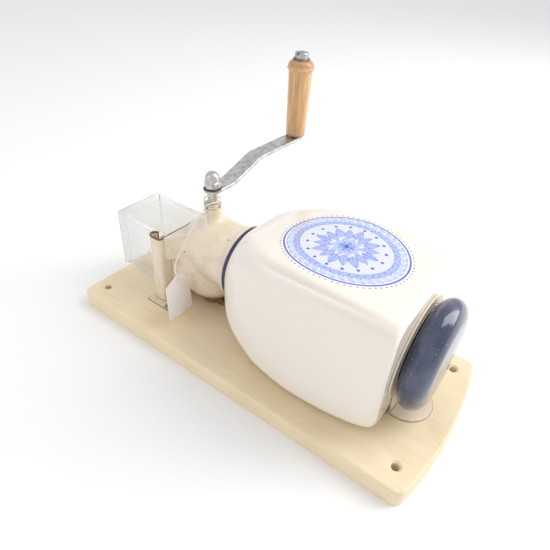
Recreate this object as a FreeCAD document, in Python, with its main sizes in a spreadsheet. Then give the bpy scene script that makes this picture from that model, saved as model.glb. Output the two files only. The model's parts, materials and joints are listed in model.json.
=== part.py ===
import FreeCAD, Part

# Wall coffee mill: a cast mill with a crank, a ceramic bean jar above it and a glass catch cup
# below it, all on a wooden wall board.
#
# Frame, in millimetres: the origin is the middle of the board's back face, +X runs across the
# board, +Y runs up the wall towards the jar's lid and +Z stands out from the wall.

import math
import os
from types import SimpleNamespace

import Sketcher
from FreeCAD import Placement, Rotation, Vector

# ---------------------------------------------------------------- sizes

SIZES = {
    # wall board, with a shallow arc along its top end
    "board_long": 350, "board_wide": 160, "board_thick": 17,
    "board_corner": 8, "board_arch_r": 348.7, "board_edge": 2,
    "hole_side": 60.5, "hole_low": -160.6, "hole_high": 161.9,
    "wall_hole_r": 3.3, "wall_sink": 1.6,
    # spindle axis, which stands out from the wall, and jar axis, which runs up the wall
    "spindle_y": -69, "jar_z": 76.8,
    # cast mill body: open rim, bulb, the boss that flares out of it, and the lug to the board
    "rim_r": 20.5, "rim_z": 29.5, "bulb_low": 39, "bulb_r": 28.2, "bulb_round": 22,
    "bulb_high": 82, "dome_r": 22, "flare_r": 16, "flare_low": 103, "boss_flare": 112,
    "flare_sweep": 10, "boss_r": 8, "boss_top": 120, "lug_y": -39, "lug_r": 6, "lug_top": 52,
    # the duct that carries the jar, and the chute over the cup
    "duct_r": 30.5, "duct_low": -82, "duct_round": 22, "collar_r": 34.5, "collar_low": -32,
    "collar_top": -29, "collar_fillet": 3, "chute_y": -97.3, "chute_side": 36.5,
    "chute_back": 66, "chute_front": 91, "chute_long": 17, "chute_neck": 27, "chute_rise": 5,
    "web_side": 29.5, "web_low": 36, "web_neck": 27.5,
    # hollows of the casting
    "neck_bore_r": 28.4, "neck_seat": -37, "funnel_r": 22, "throat_r": 12.5,
    "throat_y": -50, "throat_z": 46, "feed_r": 23.5, "feed_low": 37, "feed_top": 55,
    "feed_slope": 3, "burr_seat_r": 18, "burr_low": 58, "burr_top": 78, "burr_step": 1.5,
    "grounds_top": 95, "outlet_side": 27.5, "outlet_edge": 3, "outlet_throat": 10,
    # glass cup and its sheet steel holder
    "cup_side": 27.5, "cup_low": -172, "cup_mouth": -99, "cup_back": 22, "cup_front": 86.5,
    "cup_corner": 3, "glass": 4, "cup_floor": 6, "lip_side": 36.5, "lip_deep": 7.5,
    "sheet": 1.2, "channel_side": 41, "channel_bend": 3.2, "curl_r": 4.9, "curl_y": -108.5,
    "channel_top": 91, "tab_side": 48.6, "tab_low": -115, "tab_high": -85.7, "window_side": 26.5,
    # jar, its gasket, bracket and lid
    "gasket_r": 35.5, "gasket_low": -29, "gasket_top": -24, "gasket_edge": 1,
    "jar_half": 61, "jar_half_deep": 59.2, "jar_wall": 5, "jar_foot": -24,
    "spigot_r": 28, "spigot_bore": 23,
    "jar_end": 136.3, "neck_r": 36, "neck_bore": 31.5, "neck_top": 138.3, "neck_bite": 4,
    "bracket_r": 43.5, "bracket_low": 136.6, "bracket_top": 138.1, "bracket_bore": 36.4,
    "tongue_r": 22, "tongue_y": 143,
    "lid_low": 138.7, "lid_rim_y": 150.2, "lid_top": 162, "lid_flat": 30.6, "lid_r": 46.2,
    "lid_sweep": 14, "lid_crown": 1.2, "lid_thick": 4, "lid_bore": 25,
    "plug_r": 29.5, "plug_low": 128.4, "plug_edge": 1, "groove_low": 130.4, "groove_high": 134.4,
    "groove_deep": 1.2, "seal_r": 31.2, "seal_round": 2.6, "seal_land": 0.8,
    # spindle, adjusting bush and burrs
    "spindle_r": 4.5, "tail_r": 3, "tail_low": 21.5, "tail_top": 30, "chamfer": 0.6,
    "shoulder_r": 6.5, "shoulder_low": 88.5, "shoulder_top": 92.9,
    "arm_seat": 135.2, "thread_r": 4, "spindle_top": 150, "flat_wide": 6.5,
    "running": 0.05, "bush_r": 6, "bush_low": 93, "bush_head": 120.3, "bush_head_r": 8,
    "bush_top": 123.3, "slot_wide": 2, "slot_deep": 1.2,
    "worm_r": 7.5, "worm_low": 38, "worm_high": 52, "cone_low": 56, "cone_r": 11, "cone_top": 80,
    "cone_top_r": 15.2, "burr_gap": 0.45, "tooth_wide": 1.6, "tooth_deep": 1.8, "groove_cut": 1.1,
    "pin_r": 1.5, "pin_z": 84, "ring_pin_z": 68, "ring_pin_in": 16.4, "ring_pin_out": 23,
    # rear bearing: a pedestal on the board whose spigot carries the casting's open rim, with the
    # spring that takes up play
    "pedestal_r": 13, "ear_reach": 15, "ear_r": 8.4, "pedestal_top": 24.5, "spigot_disc_r": 17.9,
    "spigot_top": 32.5, "tube_bore": 7.5, "tube_floor": 25.4, "tube_edge": 1,
    "tail_bush_r": 5, "spring_r": 5.9, "wire_r": 0.65,
    "washer_r": 7.2, "washer_low": 36.2, "washer_top": 37.7,
    # crank arm, cap nut and handle
    "arm_wide": 16, "arm_thick": 3, "arm_rise": 12.8, "bend_near": 22, "bend_far": 60,
    "arm_reach": 126, "arm_end": 8, "mitre": 0.5, "bend_r": 26, "arm_end_r": 7.9,
    "nut_flats": 13, "nut_tall": 15.3, "nut_hex": 6.6, "nut_corner": 0.9, "nut_dome_r": 6.25,
    "grip_low": 152, "grip_foot_r": 9.75, "grip_edge": 0.8, "grip_neck": 213.2,
    "grip_neck_r": 11.35, "bead_low": 214.6, "bead_high": 218.4, "bead_r": 12.4,
    "bead_round": 3, "grip_shoulder": 6.5, "grip_top": 223.6, "grip_top_r": 9,
    "grip_bore": 4.3, "bolt_r": 4, "bolt_low": 145.6, "bolt_head_r": 6.5, "bolt_head": 225.1,
    "bolt_round": 1.2, "bolt_sweep": 1.4, "bolt_top": 230.6, "bolt_slot_wide": 1.8,
    "bolt_slot_low": 228.4, "top_washer_r": 8, "foot_washer_r": 8.5, "gap": 0.2,
    # screws
    "wood_screw_r": 1.9, "wood_screw_long": 12, "wood_point": 3, "wood_head_r": 3.6,
    "wood_head_flat": 2, "wood_head_tall": 2.2, "wood_slot_wide": 1, "wood_slot_deep": 0.9,
    "tab_screw_x": 45.2, "tab_screw_y": -90, "bracket_screw_y": 151,
    "body_screw_r": 2.5, "body_head_r": 4.8, "body_head_deep": 2.8, "screw_sunk": 0.3,
    # swing tag and its string
    "string_r": 0.5, "tag_thick": 0.6, "tag_wide": 31.4, "tag_long": 35, "tag_peak": 6.5,
    "tag_peak_wide": 6, "tag_eye_r": 1.4,
    # allowance by which a cutting tool runs past the face that it cuts
    "past": 1,
}


class Size:
    """A number together with the spreadsheet formula that gives it."""

    def __init__(self, value, formula):
        self.value = float(value)
        self.formula = formula

    def __add__(self, other):
        other = as_size(other)
        return Size(self.value + other.value, f"({self.formula} + {other.formula})")

    def __sub__(self, other):
        other = as_size(other)
        return Size(self.value - other.value, f"({self.formula} - {other.formula})")

    def __mul__(self, other):
        other = as_size(other)
        return Size(self.value * other.value, f"({self.formula} * {other.formula})")

    def __truediv__(self, other):
        other = as_size(other)
        return Size(self.value / other.value, f"({self.formula} / {other.formula})")

    def __radd__(self, other):
        return as_size(other) + self

    def __rsub__(self, other):
        return as_size(other) - self

    def __rmul__(self, other):
        return as_size(other) * self

    def __neg__(self):
        return 0 - self


def as_size(number):
    return number if isinstance(number, Size) else Size(number, f"({float(number)})")


doc = FreeCAD.newDocument("wall_mill")
sheet = doc.addObject("Spreadsheet::Sheet", "Sizes")
for row, (alias, number) in enumerate(SIZES.items(), start=1):
    sheet.set(f"A{row}", alias)
    sheet.set(f"B{row}", str(number))
    sheet.setAlias(f"B{row}", alias)
doc.recompute()
d = SimpleNamespace(**{alias: Size(sheet.get(alias), f"Sizes.{alias}") for alias in SIZES})

# ---------------------------------------------------------------- building helpers

UPRIGHT = Rotation()
UP_THE_WALL = Rotation(Vector(1, 0, 0), -90)    # local Z becomes +Y
DOWN_THE_WALL = Rotation(Vector(1, 0, 0), 90)   # local Z becomes -Y, local Y becomes +Z
ACROSS = Rotation(Vector(0, 1, 0), 90)          # local Z becomes +X
SPINDLE = (0, d.spindle_y, 0)
HANDLE = (-d.arm_reach, d.spindle_y, 0)
nodes = []


def bind(item, prop, size):
    item.setExpression(prop, as_size(size).formula)


def place(item, at, turn=UPRIGHT):
    sizes = [as_size(number) for number in at]
    item.Placement = Placement(Vector(*[size.value for size in sizes]), turn)
    for axis, size in zip("xyz", sizes):
        bind(item, f"Placement.Base.{axis}", size)


def node(item, label):
    """Name an object as one of the finished sub-parts."""
    item.Label = label
    nodes.append(item)
    return item


def cylinder(name, radius, tall, at, turn=UPRIGHT):
    item = doc.addObject("Part::Cylinder", name)
    bind(item, "Radius", radius)
    bind(item, "Height", tall)
    place(item, at, turn)
    return item


def cone(name, low_radius, high_radius, tall, at, turn=UPRIGHT):
    item = doc.addObject("Part::Cone", name)
    bind(item, "Radius1", low_radius)
    bind(item, "Radius2", high_radius)
    bind(item, "Height", tall)
    place(item, at, turn)
    return item


def box(name, low, high, turn=UPRIGHT):
    """Box between two opposite corners."""
    item = doc.addObject("Part::Box", name)
    for prop, start, end in zip(("Length", "Width", "Height"), low, high):
        bind(item, prop, end - start)
    place(item, low, turn)
    return item


def fuse(name, *items):
    item = doc.addObject("Part::MultiFuse", name)
    item.Shapes = list(items)
    return item


def cut(name, base, *tools):
    item = doc.addObject("Part::Cut", name)
    item.Base = base
    item.Tool = tools[0] if len(tools) == 1 else fuse(name + "_tools", *tools)
    return item


def corner_point(corner):
    return Vector(as_size(corner[0]).value, as_size(corner[1]).value, 0)


def round_edge(start, end, radius):
    """Arc between two points; a positive radius curves to the left of the way from start to end.

    Gives the arc and whether it is stored from end to start, since arcs are stored turning left.
    """
    chord = end - start
    left = Vector(-chord.y, chord.x, 0).normalize()
    rise = math.sqrt(max(radius ** 2 - chord.Length ** 2 / 4, 0))
    centre = (start + end) / 2 + left * math.copysign(rise, radius)
    first, last = (start, end) if radius > 0 else (end, start)
    angles = [math.atan2(point.y - centre.y, point.x - centre.x) for point in (first, last)]
    circle = Part.Circle(centre, Vector(0, 0, 1), abs(radius))
    return Part.ArcOfCircle(circle, *angles), radius < 0


def draw(sketch, corners):
    """Closed outline whose corners and arc radii are all tied to the sheet.

    A corner is (x, y), or (x, y, radius) when the edge that leaves it is an arc.
    """
    ends = []
    for corner, following in zip(corners, corners[1:] + corners[:1]):
        start, end = corner_point(corner), corner_point(following)
        backwards = False
        edge = Part.LineSegment(start, end)
        if len(corner) == 3:
            edge, backwards = round_edge(start, end, as_size(corner[2]).value)
        index = sketch.addGeometry(edge, False)
        ends.append((index, 2 if backwards else 1, 1 if backwards else 2))
    for here, following in zip(ends, ends[1:] + ends[:1]):
        link = Sketcher.Constraint("Coincident", here[0], here[2], following[0], following[1])
        sketch.addConstraint(link)
    for corner, (index, first, _) in zip(corners, ends):
        for kind, size in (("DistanceX", as_size(corner[0])), ("DistanceY", as_size(corner[1]))):
            number = sketch.addConstraint(Sketcher.Constraint(kind, -1, 1, index, first, size.value))
            bind(sketch, f"Constraints[{number}]", size)
        if len(corner) == 3:
            radius = as_size(corner[2])
            radius = radius if radius.value > 0 else -radius
            number = sketch.addConstraint(Sketcher.Constraint("Radius", index, radius.value))
            bind(sketch, f"Constraints[{number}]", radius)


def sketched_body(name, plane, corners):
    """Body with one sketch on one of its origin planes."""
    body = doc.addObject("PartDesign::Body", name)
    support = next(item for item in body.Origin.OriginFeatures if item.Role == plane)
    sketch = body.newObject("Sketcher::SketchObject", name + "_outline")
    sketch.AttachmentSupport = (support, [""])
    sketch.MapMode = "FlatFace"
    draw(sketch, corners)
    return body, sketch


def turned(name, corners, at, turn=UPRIGHT):
    """Body turned about its local Z axis from an outline of (radius, height) corners."""
    body, sketch = sketched_body(name, "XZ_Plane", corners)
    feature = body.newObject("PartDesign::Revolution", name + "_turned")
    feature.Profile = sketch
    feature.ReferenceAxis = (sketch, ["V_Axis"])
    feature.Angle = 360
    place(body, at, turn)
    return body


def plate(name, corners, thick, at, turn=UPRIGHT):
    """Body padded from its local XY plane."""
    body, sketch = sketched_body(name, "XY_Plane", corners)
    feature = body.newObject("PartDesign::Pad", name + "_pad")
    feature.Profile = sketch
    bind(feature, "Length", thick)
    place(body, at, turn)
    return body


def rounded(x_low, x_high, y_low, y_high, radius):
    """Corners of a rectangle with rounded corners."""
    return [
        (x_low + radius, y_low), (x_high - radius, y_low, radius),
        (x_high, y_low + radius), (x_high, y_high - radius, radius),
        (x_high - radius, y_high), (x_low + radius, y_high, radius),
        (x_low, y_high - radius), (x_low, y_low + radius, radius),
    ]


def edges_where(item, test):
    """Names of an object's edges whose middle and direction pass a test."""
    names = []
    for number, edge in enumerate(item.Shape.Edges, start=1):
        along = edge.Vertexes[-1].Point - edge.Vertexes[0].Point
        if test(edge.CenterOfMass, along):
            names.append(f"Edge{number}")
    return names


def soften(body, kind, name, size_prop, size, test):
    """Fillet or chamfer on the edges of a body's last feature that pass a test."""
    doc.recompute()
    tip = body.Tip
    feature = body.newObject(kind, name)
    feature.Base = (tip, edges_where(tip, test))
    bind(feature, size_prop, size)
    body.Tip = feature


def slots(name, count, base, low, high, lean=0.0, toe=0.0):
    """Boxes set evenly round the local Z axis at base, leaning with a cone and turned askew."""
    items = []
    for turn in range(count):
        slot = box(f"{name}_{turn}", low, high)
        tilt = Rotation(Vector(0, 1, 0), lean).multiply(Rotation(Vector(1, 0, 0), toe))
        spin = Rotation(Vector(0, 0, 1), 360 * turn / count).multiply(tilt)
        corner = spin.multVec(Vector(*[as_size(number).value for number in low]))
        slot.Placement = Placement(corner + Vector(*[as_size(n).value for n in base]), spin)
        for axis in "xyz":
            slot.setExpression(f"Placement.Base.{axis}", None)
        items.append(slot)
    return items


def rounded_path(points):
    """Straight runs joined by tangent arcs, each as large as its two runs allow."""
    edges, radii = [], []
    start = points[0]
    for before, here, after in zip(points, points[1:], points[2:]):
        back, on = before - here, after - here
        turn = math.pi - back.getAngle(on)
        reach = 0.45 * min(back.Length, on.Length)
        radius = reach / math.tan(turn / 2)
        first, last = here + back.normalize() * reach, here + on.normalize() * reach
        inward = ((first + last) / 2 - here).normalize()
        top = here + inward * (radius / math.cos(turn / 2) - radius)
        edges.append(Part.LineSegment(start, first).toShape())
        edges.append(Part.Arc(first, top, last).toShape())
        radii.append(radius)
        start = last
    edges.append(Part.LineSegment(start, points[-1]).toShape())
    return Part.Wire(edges), radii


# ---------------------------------------------------------------- wall board and its screws

WOOD_SCREWS = {
    "holder_left": (-d.tab_screw_x, d.tab_screw_y),
    "holder_right": (d.tab_screw_x, d.tab_screw_y),
    "bracket": (as_size(0), d.bracket_screw_y),
}
EARS = (d.spindle_y - d.ear_reach, d.spindle_y + d.ear_reach)
BODY_SCREWS = (*EARS, d.lug_y)


def make_wall_board():
    half_wide, half_long = d.board_wide / 2, d.board_long / 2
    board = plate("board_blank", [
        (-half_wide, -half_long), (half_wide, -half_long),
        (half_wide, half_long, d.board_arch_r), (-half_wide, half_long),
    ], d.board_thick, (0, 0, 0))
    soften(board, "PartDesign::Fillet", "board_corners", "Radius", d.board_corner,
           lambda middle, along: abs(along.z) > 1)
    soften(board, "PartDesign::Fillet", "board_rim", "Radius", d.board_edge,
           lambda middle, along: middle.z > d.board_thick.value - 0.01)
    tools = []
    for side in (-1, 1):
        for end, y in (("low", d.hole_low), ("high", d.hole_high)):
            mark = f"{end}_{'left' if side < 0 else 'right'}"
            x = side * d.hole_side
            tools.append(cylinder(f"wall_hole_{mark}", d.wall_hole_r, d.board_thick, (x, y, 0)))
            tools.append(cone(f"wall_sink_{mark}", d.wall_hole_r, d.wall_hole_r + d.wall_sink,
                              d.wall_sink, (x, y, d.board_thick - d.wall_sink)))
    for number, y in enumerate(BODY_SCREWS):
        at = (0, y, 0)
        tools.append(cylinder(f"body_hole_{number}", d.body_screw_r, d.board_thick, at))
        tools.append(cone(f"body_sink_{number}", d.body_head_r, d.body_screw_r,
                          d.body_head_deep, at))
    for name, (x, y) in WOOD_SCREWS.items():
        tools.append(cylinder(f"pilot_{name}", d.wood_screw_r, d.wood_screw_long,
                              (x, y, d.board_thick - d.wood_screw_long)))
    node(cut("board", board, *tools), "wall_board")


def wood_screw(name):
    """Round-head slotted wood screw whose head sits on a sheet on the board."""
    x, y = WOOD_SCREWS[name]
    low, seat = d.board_thick - d.wood_screw_long, d.board_thick + d.sheet
    top = seat + d.wood_head_tall
    blank = turned(f"{name}_screw_blank", [
        (0, low), (d.wood_screw_r, low + d.wood_point), (d.wood_screw_r, seat),
        (d.wood_head_r, seat, d.wood_head_r), (d.wood_head_flat, top), (0, top),
    ], (x, y, 0))
    slot = box(f"{name}_screw_slot",
               (x - d.wood_head_r, y - d.wood_slot_wide / 2, top - d.wood_slot_deep),
               (x + d.wood_head_r, y + d.wood_slot_wide / 2, top + d.past))
    return cut(f"{name}_screw", blank, slot)


def make_screws():
    node(fuse("holder_screw_pair", wood_screw("holder_left"), wood_screw("holder_right")),
         "holder_screws")
    node(wood_screw("bracket"), "bracket_screw")
    screws = [
        turned(f"body_screw_{number}", [
            (0, d.screw_sunk), (d.body_head_r - d.screw_sunk, d.screw_sunk),
            (d.body_screw_r, d.body_head_deep), (d.body_screw_r, d.pedestal_top),
            (0, d.pedestal_top),
        ], (0, y, 0))
        for number, y in enumerate(BODY_SCREWS)
    ]
    node(fuse("body_screw_set", *screws), "body_screws")


# ---------------------------------------------------------------- cast mill body

def wedge(name, base, far):
    """Block that tapers along Y between two (x, y, z low, z high) ends, x being half its width."""
    item = doc.addObject("Part::Wedge", name)
    ends = {
        "Xmin": -base[0], "Xmax": base[0], "Ymin": base[1], "Zmin": base[2], "Zmax": base[3],
        "X2min": -far[0], "X2max": far[0], "Ymax": far[1], "Z2min": far[2], "Z2max": far[3],
    }
    for prop, size in ends.items():
        bind(item, prop, size)
    return item


def ring_pin(name, side):
    """One of the two radial pins that hold the outer burr."""
    return cylinder(name, d.pin_r, d.ring_pin_out - d.ring_pin_in,
                    (side * d.ring_pin_in, d.spindle_y, d.ring_pin_z),
                    Rotation(Vector(0, 1, 0), 90 * side))


def make_mill_body():
    bulb = turned("casting_bulb", [
        (0, d.rim_z), (d.rim_r, d.rim_z, d.bulb_round), (d.bulb_r, d.bulb_low),
        (d.bulb_r, d.bulb_high, d.dome_r),
        (d.flare_r, d.flare_low, -d.flare_sweep), (d.boss_r, d.boss_flare),
        (d.boss_r, d.boss_top), (0, d.boss_top),
    ], SPINDLE)
    duct = turned("casting_duct", [
        (0, d.duct_low), (d.duct_r - d.duct_round, d.duct_low, d.duct_round),
        (d.duct_r, d.duct_low + d.duct_round), (d.duct_r, d.collar_low - d.collar_fillet),
        (d.collar_r, d.collar_low), (d.collar_r, d.collar_top), (0, d.collar_top),
    ], (0, 0, d.jar_z), UP_THE_WALL)
    chute = wedge("casting_chute", (d.chute_side, d.chute_y, d.chute_back, d.chute_front),
                  (d.chute_neck, d.chute_y + d.chute_long, d.chute_back + d.chute_rise,
                   d.chute_front + d.chute_rise))
    web = wedge("casting_web", (d.web_side, d.chute_y, d.web_low, d.chute_back + d.past),
                (d.web_neck, d.chute_y + d.chute_long, d.web_low, d.chute_back + d.chute_rise))
    lug = cylinder("casting_lug", d.lug_r, d.lug_top - d.board_thick, (0, d.lug_y, d.board_thick))
    casting = fuse("casting", bulb, duct, chute, web, lug)

    mouth = doc.addObject("Part::Circle", "funnel_mouth")
    throat = doc.addObject("Part::Circle", "funnel_throat")
    bind(mouth, "Radius", d.funnel_r)
    bind(throat, "Radius", d.throat_r)
    place(mouth, (0, d.neck_seat, d.jar_z), UP_THE_WALL)
    place(throat, (0, d.throat_y, d.throat_z), UP_THE_WALL)
    funnel = doc.addObject("Part::Loft", "funnel")
    funnel.Sections = [mouth, throat]
    funnel.Solid = True
    funnel.Ruled = True
    outlet = wedge("outlet", (d.outlet_side, d.chute_y, d.chute_back + d.outlet_edge,
                              d.chute_front - d.outlet_edge),
                   (d.outlet_throat, d.spindle_y - d.boss_r, d.burr_top + d.past,
                    d.grounds_top - d.past))
    inner_step = d.burr_seat_r - d.burr_step
    chamber = turned("casting_bore", [
        (0, d.rim_z), (d.burr_seat_r, d.rim_z), (d.burr_seat_r, d.feed_low - d.feed_slope),
        (d.feed_r, d.feed_low), (d.feed_r, d.feed_top - d.feed_slope),
        (d.burr_seat_r, d.feed_top), (d.burr_seat_r, d.burr_top), (inner_step, d.burr_top),
        (inner_step, d.grounds_top - d.feed_slope), (inner_step - d.feed_slope, d.grounds_top),
        (d.bush_r + d.running, d.grounds_top), (d.bush_r + d.running, d.boss_top),
        (0, d.boss_top),
    ], SPINDLE)
    collar = cylinder("casting_neck_bore", d.neck_bore_r, d.collar_top - d.neck_seat,
                      (0, d.neck_seat, d.jar_z), UP_THE_WALL)
    holes = [cylinder("casting_lug_hole", d.body_screw_r, d.pedestal_top - d.board_thick,
                      (0, d.lug_y, d.board_thick))]
    holes += [ring_pin(f"casting_pin_hole_{n}", side) for n, side in enumerate((-1, 1))]
    node(cut("casting_bored", casting, funnel, outlet, chamber, collar, *holes), "mill_body")


# ---------------------------------------------------------------- burrs, spindle and bearings

CONE_MIDDLE = (d.cone_low + d.cone_top) / 2
CONE_SLOPE = (d.cone_top_r - d.cone_r) / (d.cone_top - d.cone_low)
TOOTH_REACH = (d.cone_top - d.cone_low) / 2 + 4 * d.past


def cone_radius(height):
    return d.cone_r + CONE_SLOPE * (height - d.cone_low)


def drive_pin(name, half_long):
    """Pin across the spindle through the collar of the inner burr."""
    return cylinder(name, d.pin_r, 2 * half_long, (-half_long, d.spindle_y, d.pin_z), ACROSS)


def make_burrs():
    lean = math.degrees(math.atan(CONE_SLOPE.value))
    outside = cone_radius(CONE_MIDDLE)
    inside = outside + d.burr_gap
    blank = turned("inner_burr_blank", [
        (d.spindle_r, d.worm_low), (d.worm_r, d.worm_low), (d.worm_r, d.worm_high),
        (d.cone_r, d.cone_low), (d.cone_top_r, d.cone_top), (d.worm_r, d.cone_top),
        (d.worm_r, d.shoulder_low), (d.spindle_r, d.shoulder_low),
    ], SPINDLE)
    teeth = slots("inner_tooth", 14, (0, d.spindle_y, CONE_MIDDLE),
                  (outside - d.tooth_deep, -d.tooth_wide / 2, -TOOTH_REACH),
                  (outside + 3 * d.past, d.tooth_wide / 2, TOOTH_REACH), lean, 16)
    pin_hole = drive_pin("inner_pin_hole", d.worm_r + d.past)
    node(cut("inner_burr_cut", blank, pin_hole, *teeth), "inner_burr")

    ring = turned("outer_burr_blank", [
        (cone_radius(d.burr_low) + d.burr_gap, d.burr_low), (d.burr_seat_r, d.burr_low),
        (d.burr_seat_r, d.burr_top), (cone_radius(d.burr_top) + d.burr_gap, d.burr_top),
    ], SPINDLE)
    grooves = slots("outer_tooth", 18, (0, d.spindle_y, CONE_MIDDLE),
                    (inside - d.past, -d.tooth_wide / 2, -TOOTH_REACH),
                    (inside + d.groove_cut, d.tooth_wide / 2, TOOTH_REACH), lean, -12)
    pin_holes = [ring_pin(f"ring_pin_hole_{n}", side) for n, side in enumerate((-1, 1))]
    node(cut("outer_burr_cut", ring, *grooves, *pin_holes), "outer_burr")
    pins = [ring_pin(f"ring_pin_{n}", side) for n, side in enumerate((-1, 1))]
    node(fuse("ring_pins", *pins), "burr_ring_pins")
    node(drive_pin("drive_pin", d.worm_r - d.gap), "burr_drive_pin")


def make_spindle():
    blank = turned("spindle_blank", [
        (0, d.tail_low), (d.tail_r - d.chamfer, d.tail_low), (d.tail_r, d.tail_low + d.chamfer),
        (d.tail_r, d.tail_top), (d.spindle_r, d.tail_top), (d.spindle_r, d.shoulder_low),
        (d.shoulder_r, d.shoulder_low), (d.shoulder_r, d.shoulder_top),
        (d.spindle_r, d.shoulder_top), (d.spindle_r, d.arm_seat), (d.thread_r, d.arm_seat),
        (d.thread_r, d.spindle_top - d.chamfer), (d.thread_r - d.chamfer, d.spindle_top),
        (0, d.spindle_top),
    ], SPINDLE)
    half, side, end = d.flat_wide / 2, d.spindle_r, d.spindle_top + d.past
    flats = [
        box("spindle_flat_left", (-side, d.spindle_y - side, d.arm_seat),
            (-half, d.spindle_y + side, end)),
        box("spindle_flat_right", (half, d.spindle_y - side, d.arm_seat),
            (side, d.spindle_y + side, end)),
    ]
    pin_hole = drive_pin("spindle_pin_hole", d.spindle_r + d.past)
    node(cut("spindle_cut", blank, pin_hole, *flats), "spindle")


def make_bearings():
    bore = d.spindle_r + d.running
    bush = turned("bush_blank", [
        (bore, d.bush_low), (d.bush_r, d.bush_low), (d.bush_r, d.bush_head),
        (d.bush_head_r, d.bush_head), (d.bush_head_r, d.bush_top - d.chamfer),
        (d.bush_head_r - d.chamfer, d.bush_top), (bore, d.bush_top),
    ], SPINDLE)
    spanner = slots("spanner_slot", 4, (0, d.spindle_y, 0),
                    (d.bush_head_r - d.slot_deep, -d.slot_wide / 2, d.bush_head - d.past),
                    (d.bush_head_r + d.past, d.slot_wide / 2, d.bush_top + d.past))
    node(cut("bush_cut", bush, *spanner), "adjusting_bush")
    pedestal_tall = d.pedestal_top - d.board_thick
    pedestal = cylinder("rear_pedestal", d.pedestal_r, pedestal_tall,
                        (0, d.spindle_y, d.board_thick))
    ears = box("rear_ears", (-d.ear_r, EARS[0], d.board_thick), (d.ear_r, EARS[1], d.pedestal_top))
    ear_ends = [cylinder(f"rear_ear_{n}", d.ear_r, pedestal_tall, (0, y, d.board_thick))
                for n, y in enumerate(EARS)]
    disc = cylinder("rear_spigot", d.spigot_disc_r, d.spigot_top - d.pedestal_top,
                    (0, d.spindle_y, d.pedestal_top))
    well = turned("rear_well", [
        (0, d.board_thick), (d.tail_bush_r, d.board_thick), (d.tail_bush_r, d.tube_floor),
        (d.tube_bore, d.tube_floor), (d.tube_bore, d.spigot_top - d.tube_edge),
        (d.tube_bore + d.tube_edge, d.spigot_top), (0, d.spigot_top),
    ], SPINDLE)
    screw_holes = [
        cylinder(f"rear_hole_{n}", d.body_screw_r, pedestal_tall, (0, y, d.board_thick))
        for n, y in enumerate(EARS)
    ]
    node(cut("rear", fuse("rear_blank", pedestal, ears, *ear_ends, disc), well, *screw_holes),
         "rear_bearing")
    node(turned("tail_bush", [
        (d.tail_r + d.running, d.board_thick), (d.tail_bush_r, d.board_thick),
        (d.tail_bush_r, d.tube_floor), (d.tail_r + d.running, d.tube_floor),
    ], SPINDLE), "rear_bush")
    node(turned("washer", [
        (bore, d.washer_low), (d.washer_r, d.washer_low), (d.washer_r, d.washer_top),
        (bore, d.washer_top),
    ], SPINDLE), "thrust_washer")


def make_spring():
    """Three turns of wire from the bearing's floor to the thrust washer."""
    turns, steps = 3, 12
    low = d.tube_floor.value + d.wire_r.value
    tall = d.washer_low.value - d.wire_r.value - low
    corner_r = d.spring_r.value / math.cos(math.pi / steps)
    points = []
    for step in range(turns * steps + 1):
        angle = 2 * math.pi * step / steps
        rise = low + tall * step / (turns * steps)
        points.append(Vector(corner_r * math.cos(angle), corner_r * math.sin(angle), rise))
    path, _ = rounded_path(points)
    section = Part.Wire(Part.makeCircle(d.wire_r.value, points[0], points[1] - points[0]))
    coil = doc.addObject("Part::Feature", "coil")
    coil.Shape = path.makePipeShell([section], True, False)
    place(coil, SPINDLE)
    node(coil, "spring")


# ---------------------------------------------------------------- crank and handle

def make_crank_arm():
    low, thick, rise = d.arm_seat, d.arm_thick, d.arm_rise
    near, end, deep = d.arm_end, -d.arm_reach - d.arm_end, d.arm_thick + d.past
    body, sketch = sketched_body("arm_blank", "XZ_Plane", [
        (near, low), (near, low + thick), (d.mitre - d.bend_near, low + thick),
        (d.mitre - d.bend_far, low + thick + rise), (end, low + thick + rise), (end, low + rise),
        (-d.bend_far, low + rise), (-d.bend_near, low),
    ])
    pad = body.newObject("PartDesign::Pad", "arm_pad")
    pad.Profile = sketch
    pad.SideType = "Symmetric"
    bind(pad, "Length", d.arm_wide)
    soften(body, "PartDesign::Fillet", "arm_bends", "Radius", d.bend_r,
           lambda middle, along: abs(along.y) > 1 and -d.arm_reach.value < middle.x < 0)
    soften(body, "PartDesign::Fillet", "arm_ends", "Radius", d.arm_end_r,
           lambda middle, along: abs(along.z) > 1 and abs(along.x) < 0.01)
    place(body, SPINDLE)
    half = d.flat_wide / 2 + d.running
    hub = cylinder("arm_hub_hole", d.thread_r + d.running, 2 * deep, (0, d.spindle_y, low - deep / 2))
    key = box("arm_hub_key", (-half, d.spindle_y - d.spindle_r, low - d.past),
              (half, d.spindle_y + d.spindle_r, low + deep))
    hole = doc.addObject("Part::MultiCommon", "arm_hub_shape")
    hole.Shapes = [hub, key]
    tapped = cylinder("arm_bolt_hole", d.bolt_r, 2 * deep,
                      (-d.arm_reach, d.spindle_y, low + rise - deep / 2))
    node(cut("arm", body, hole, tapped), "crank_arm")


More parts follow.
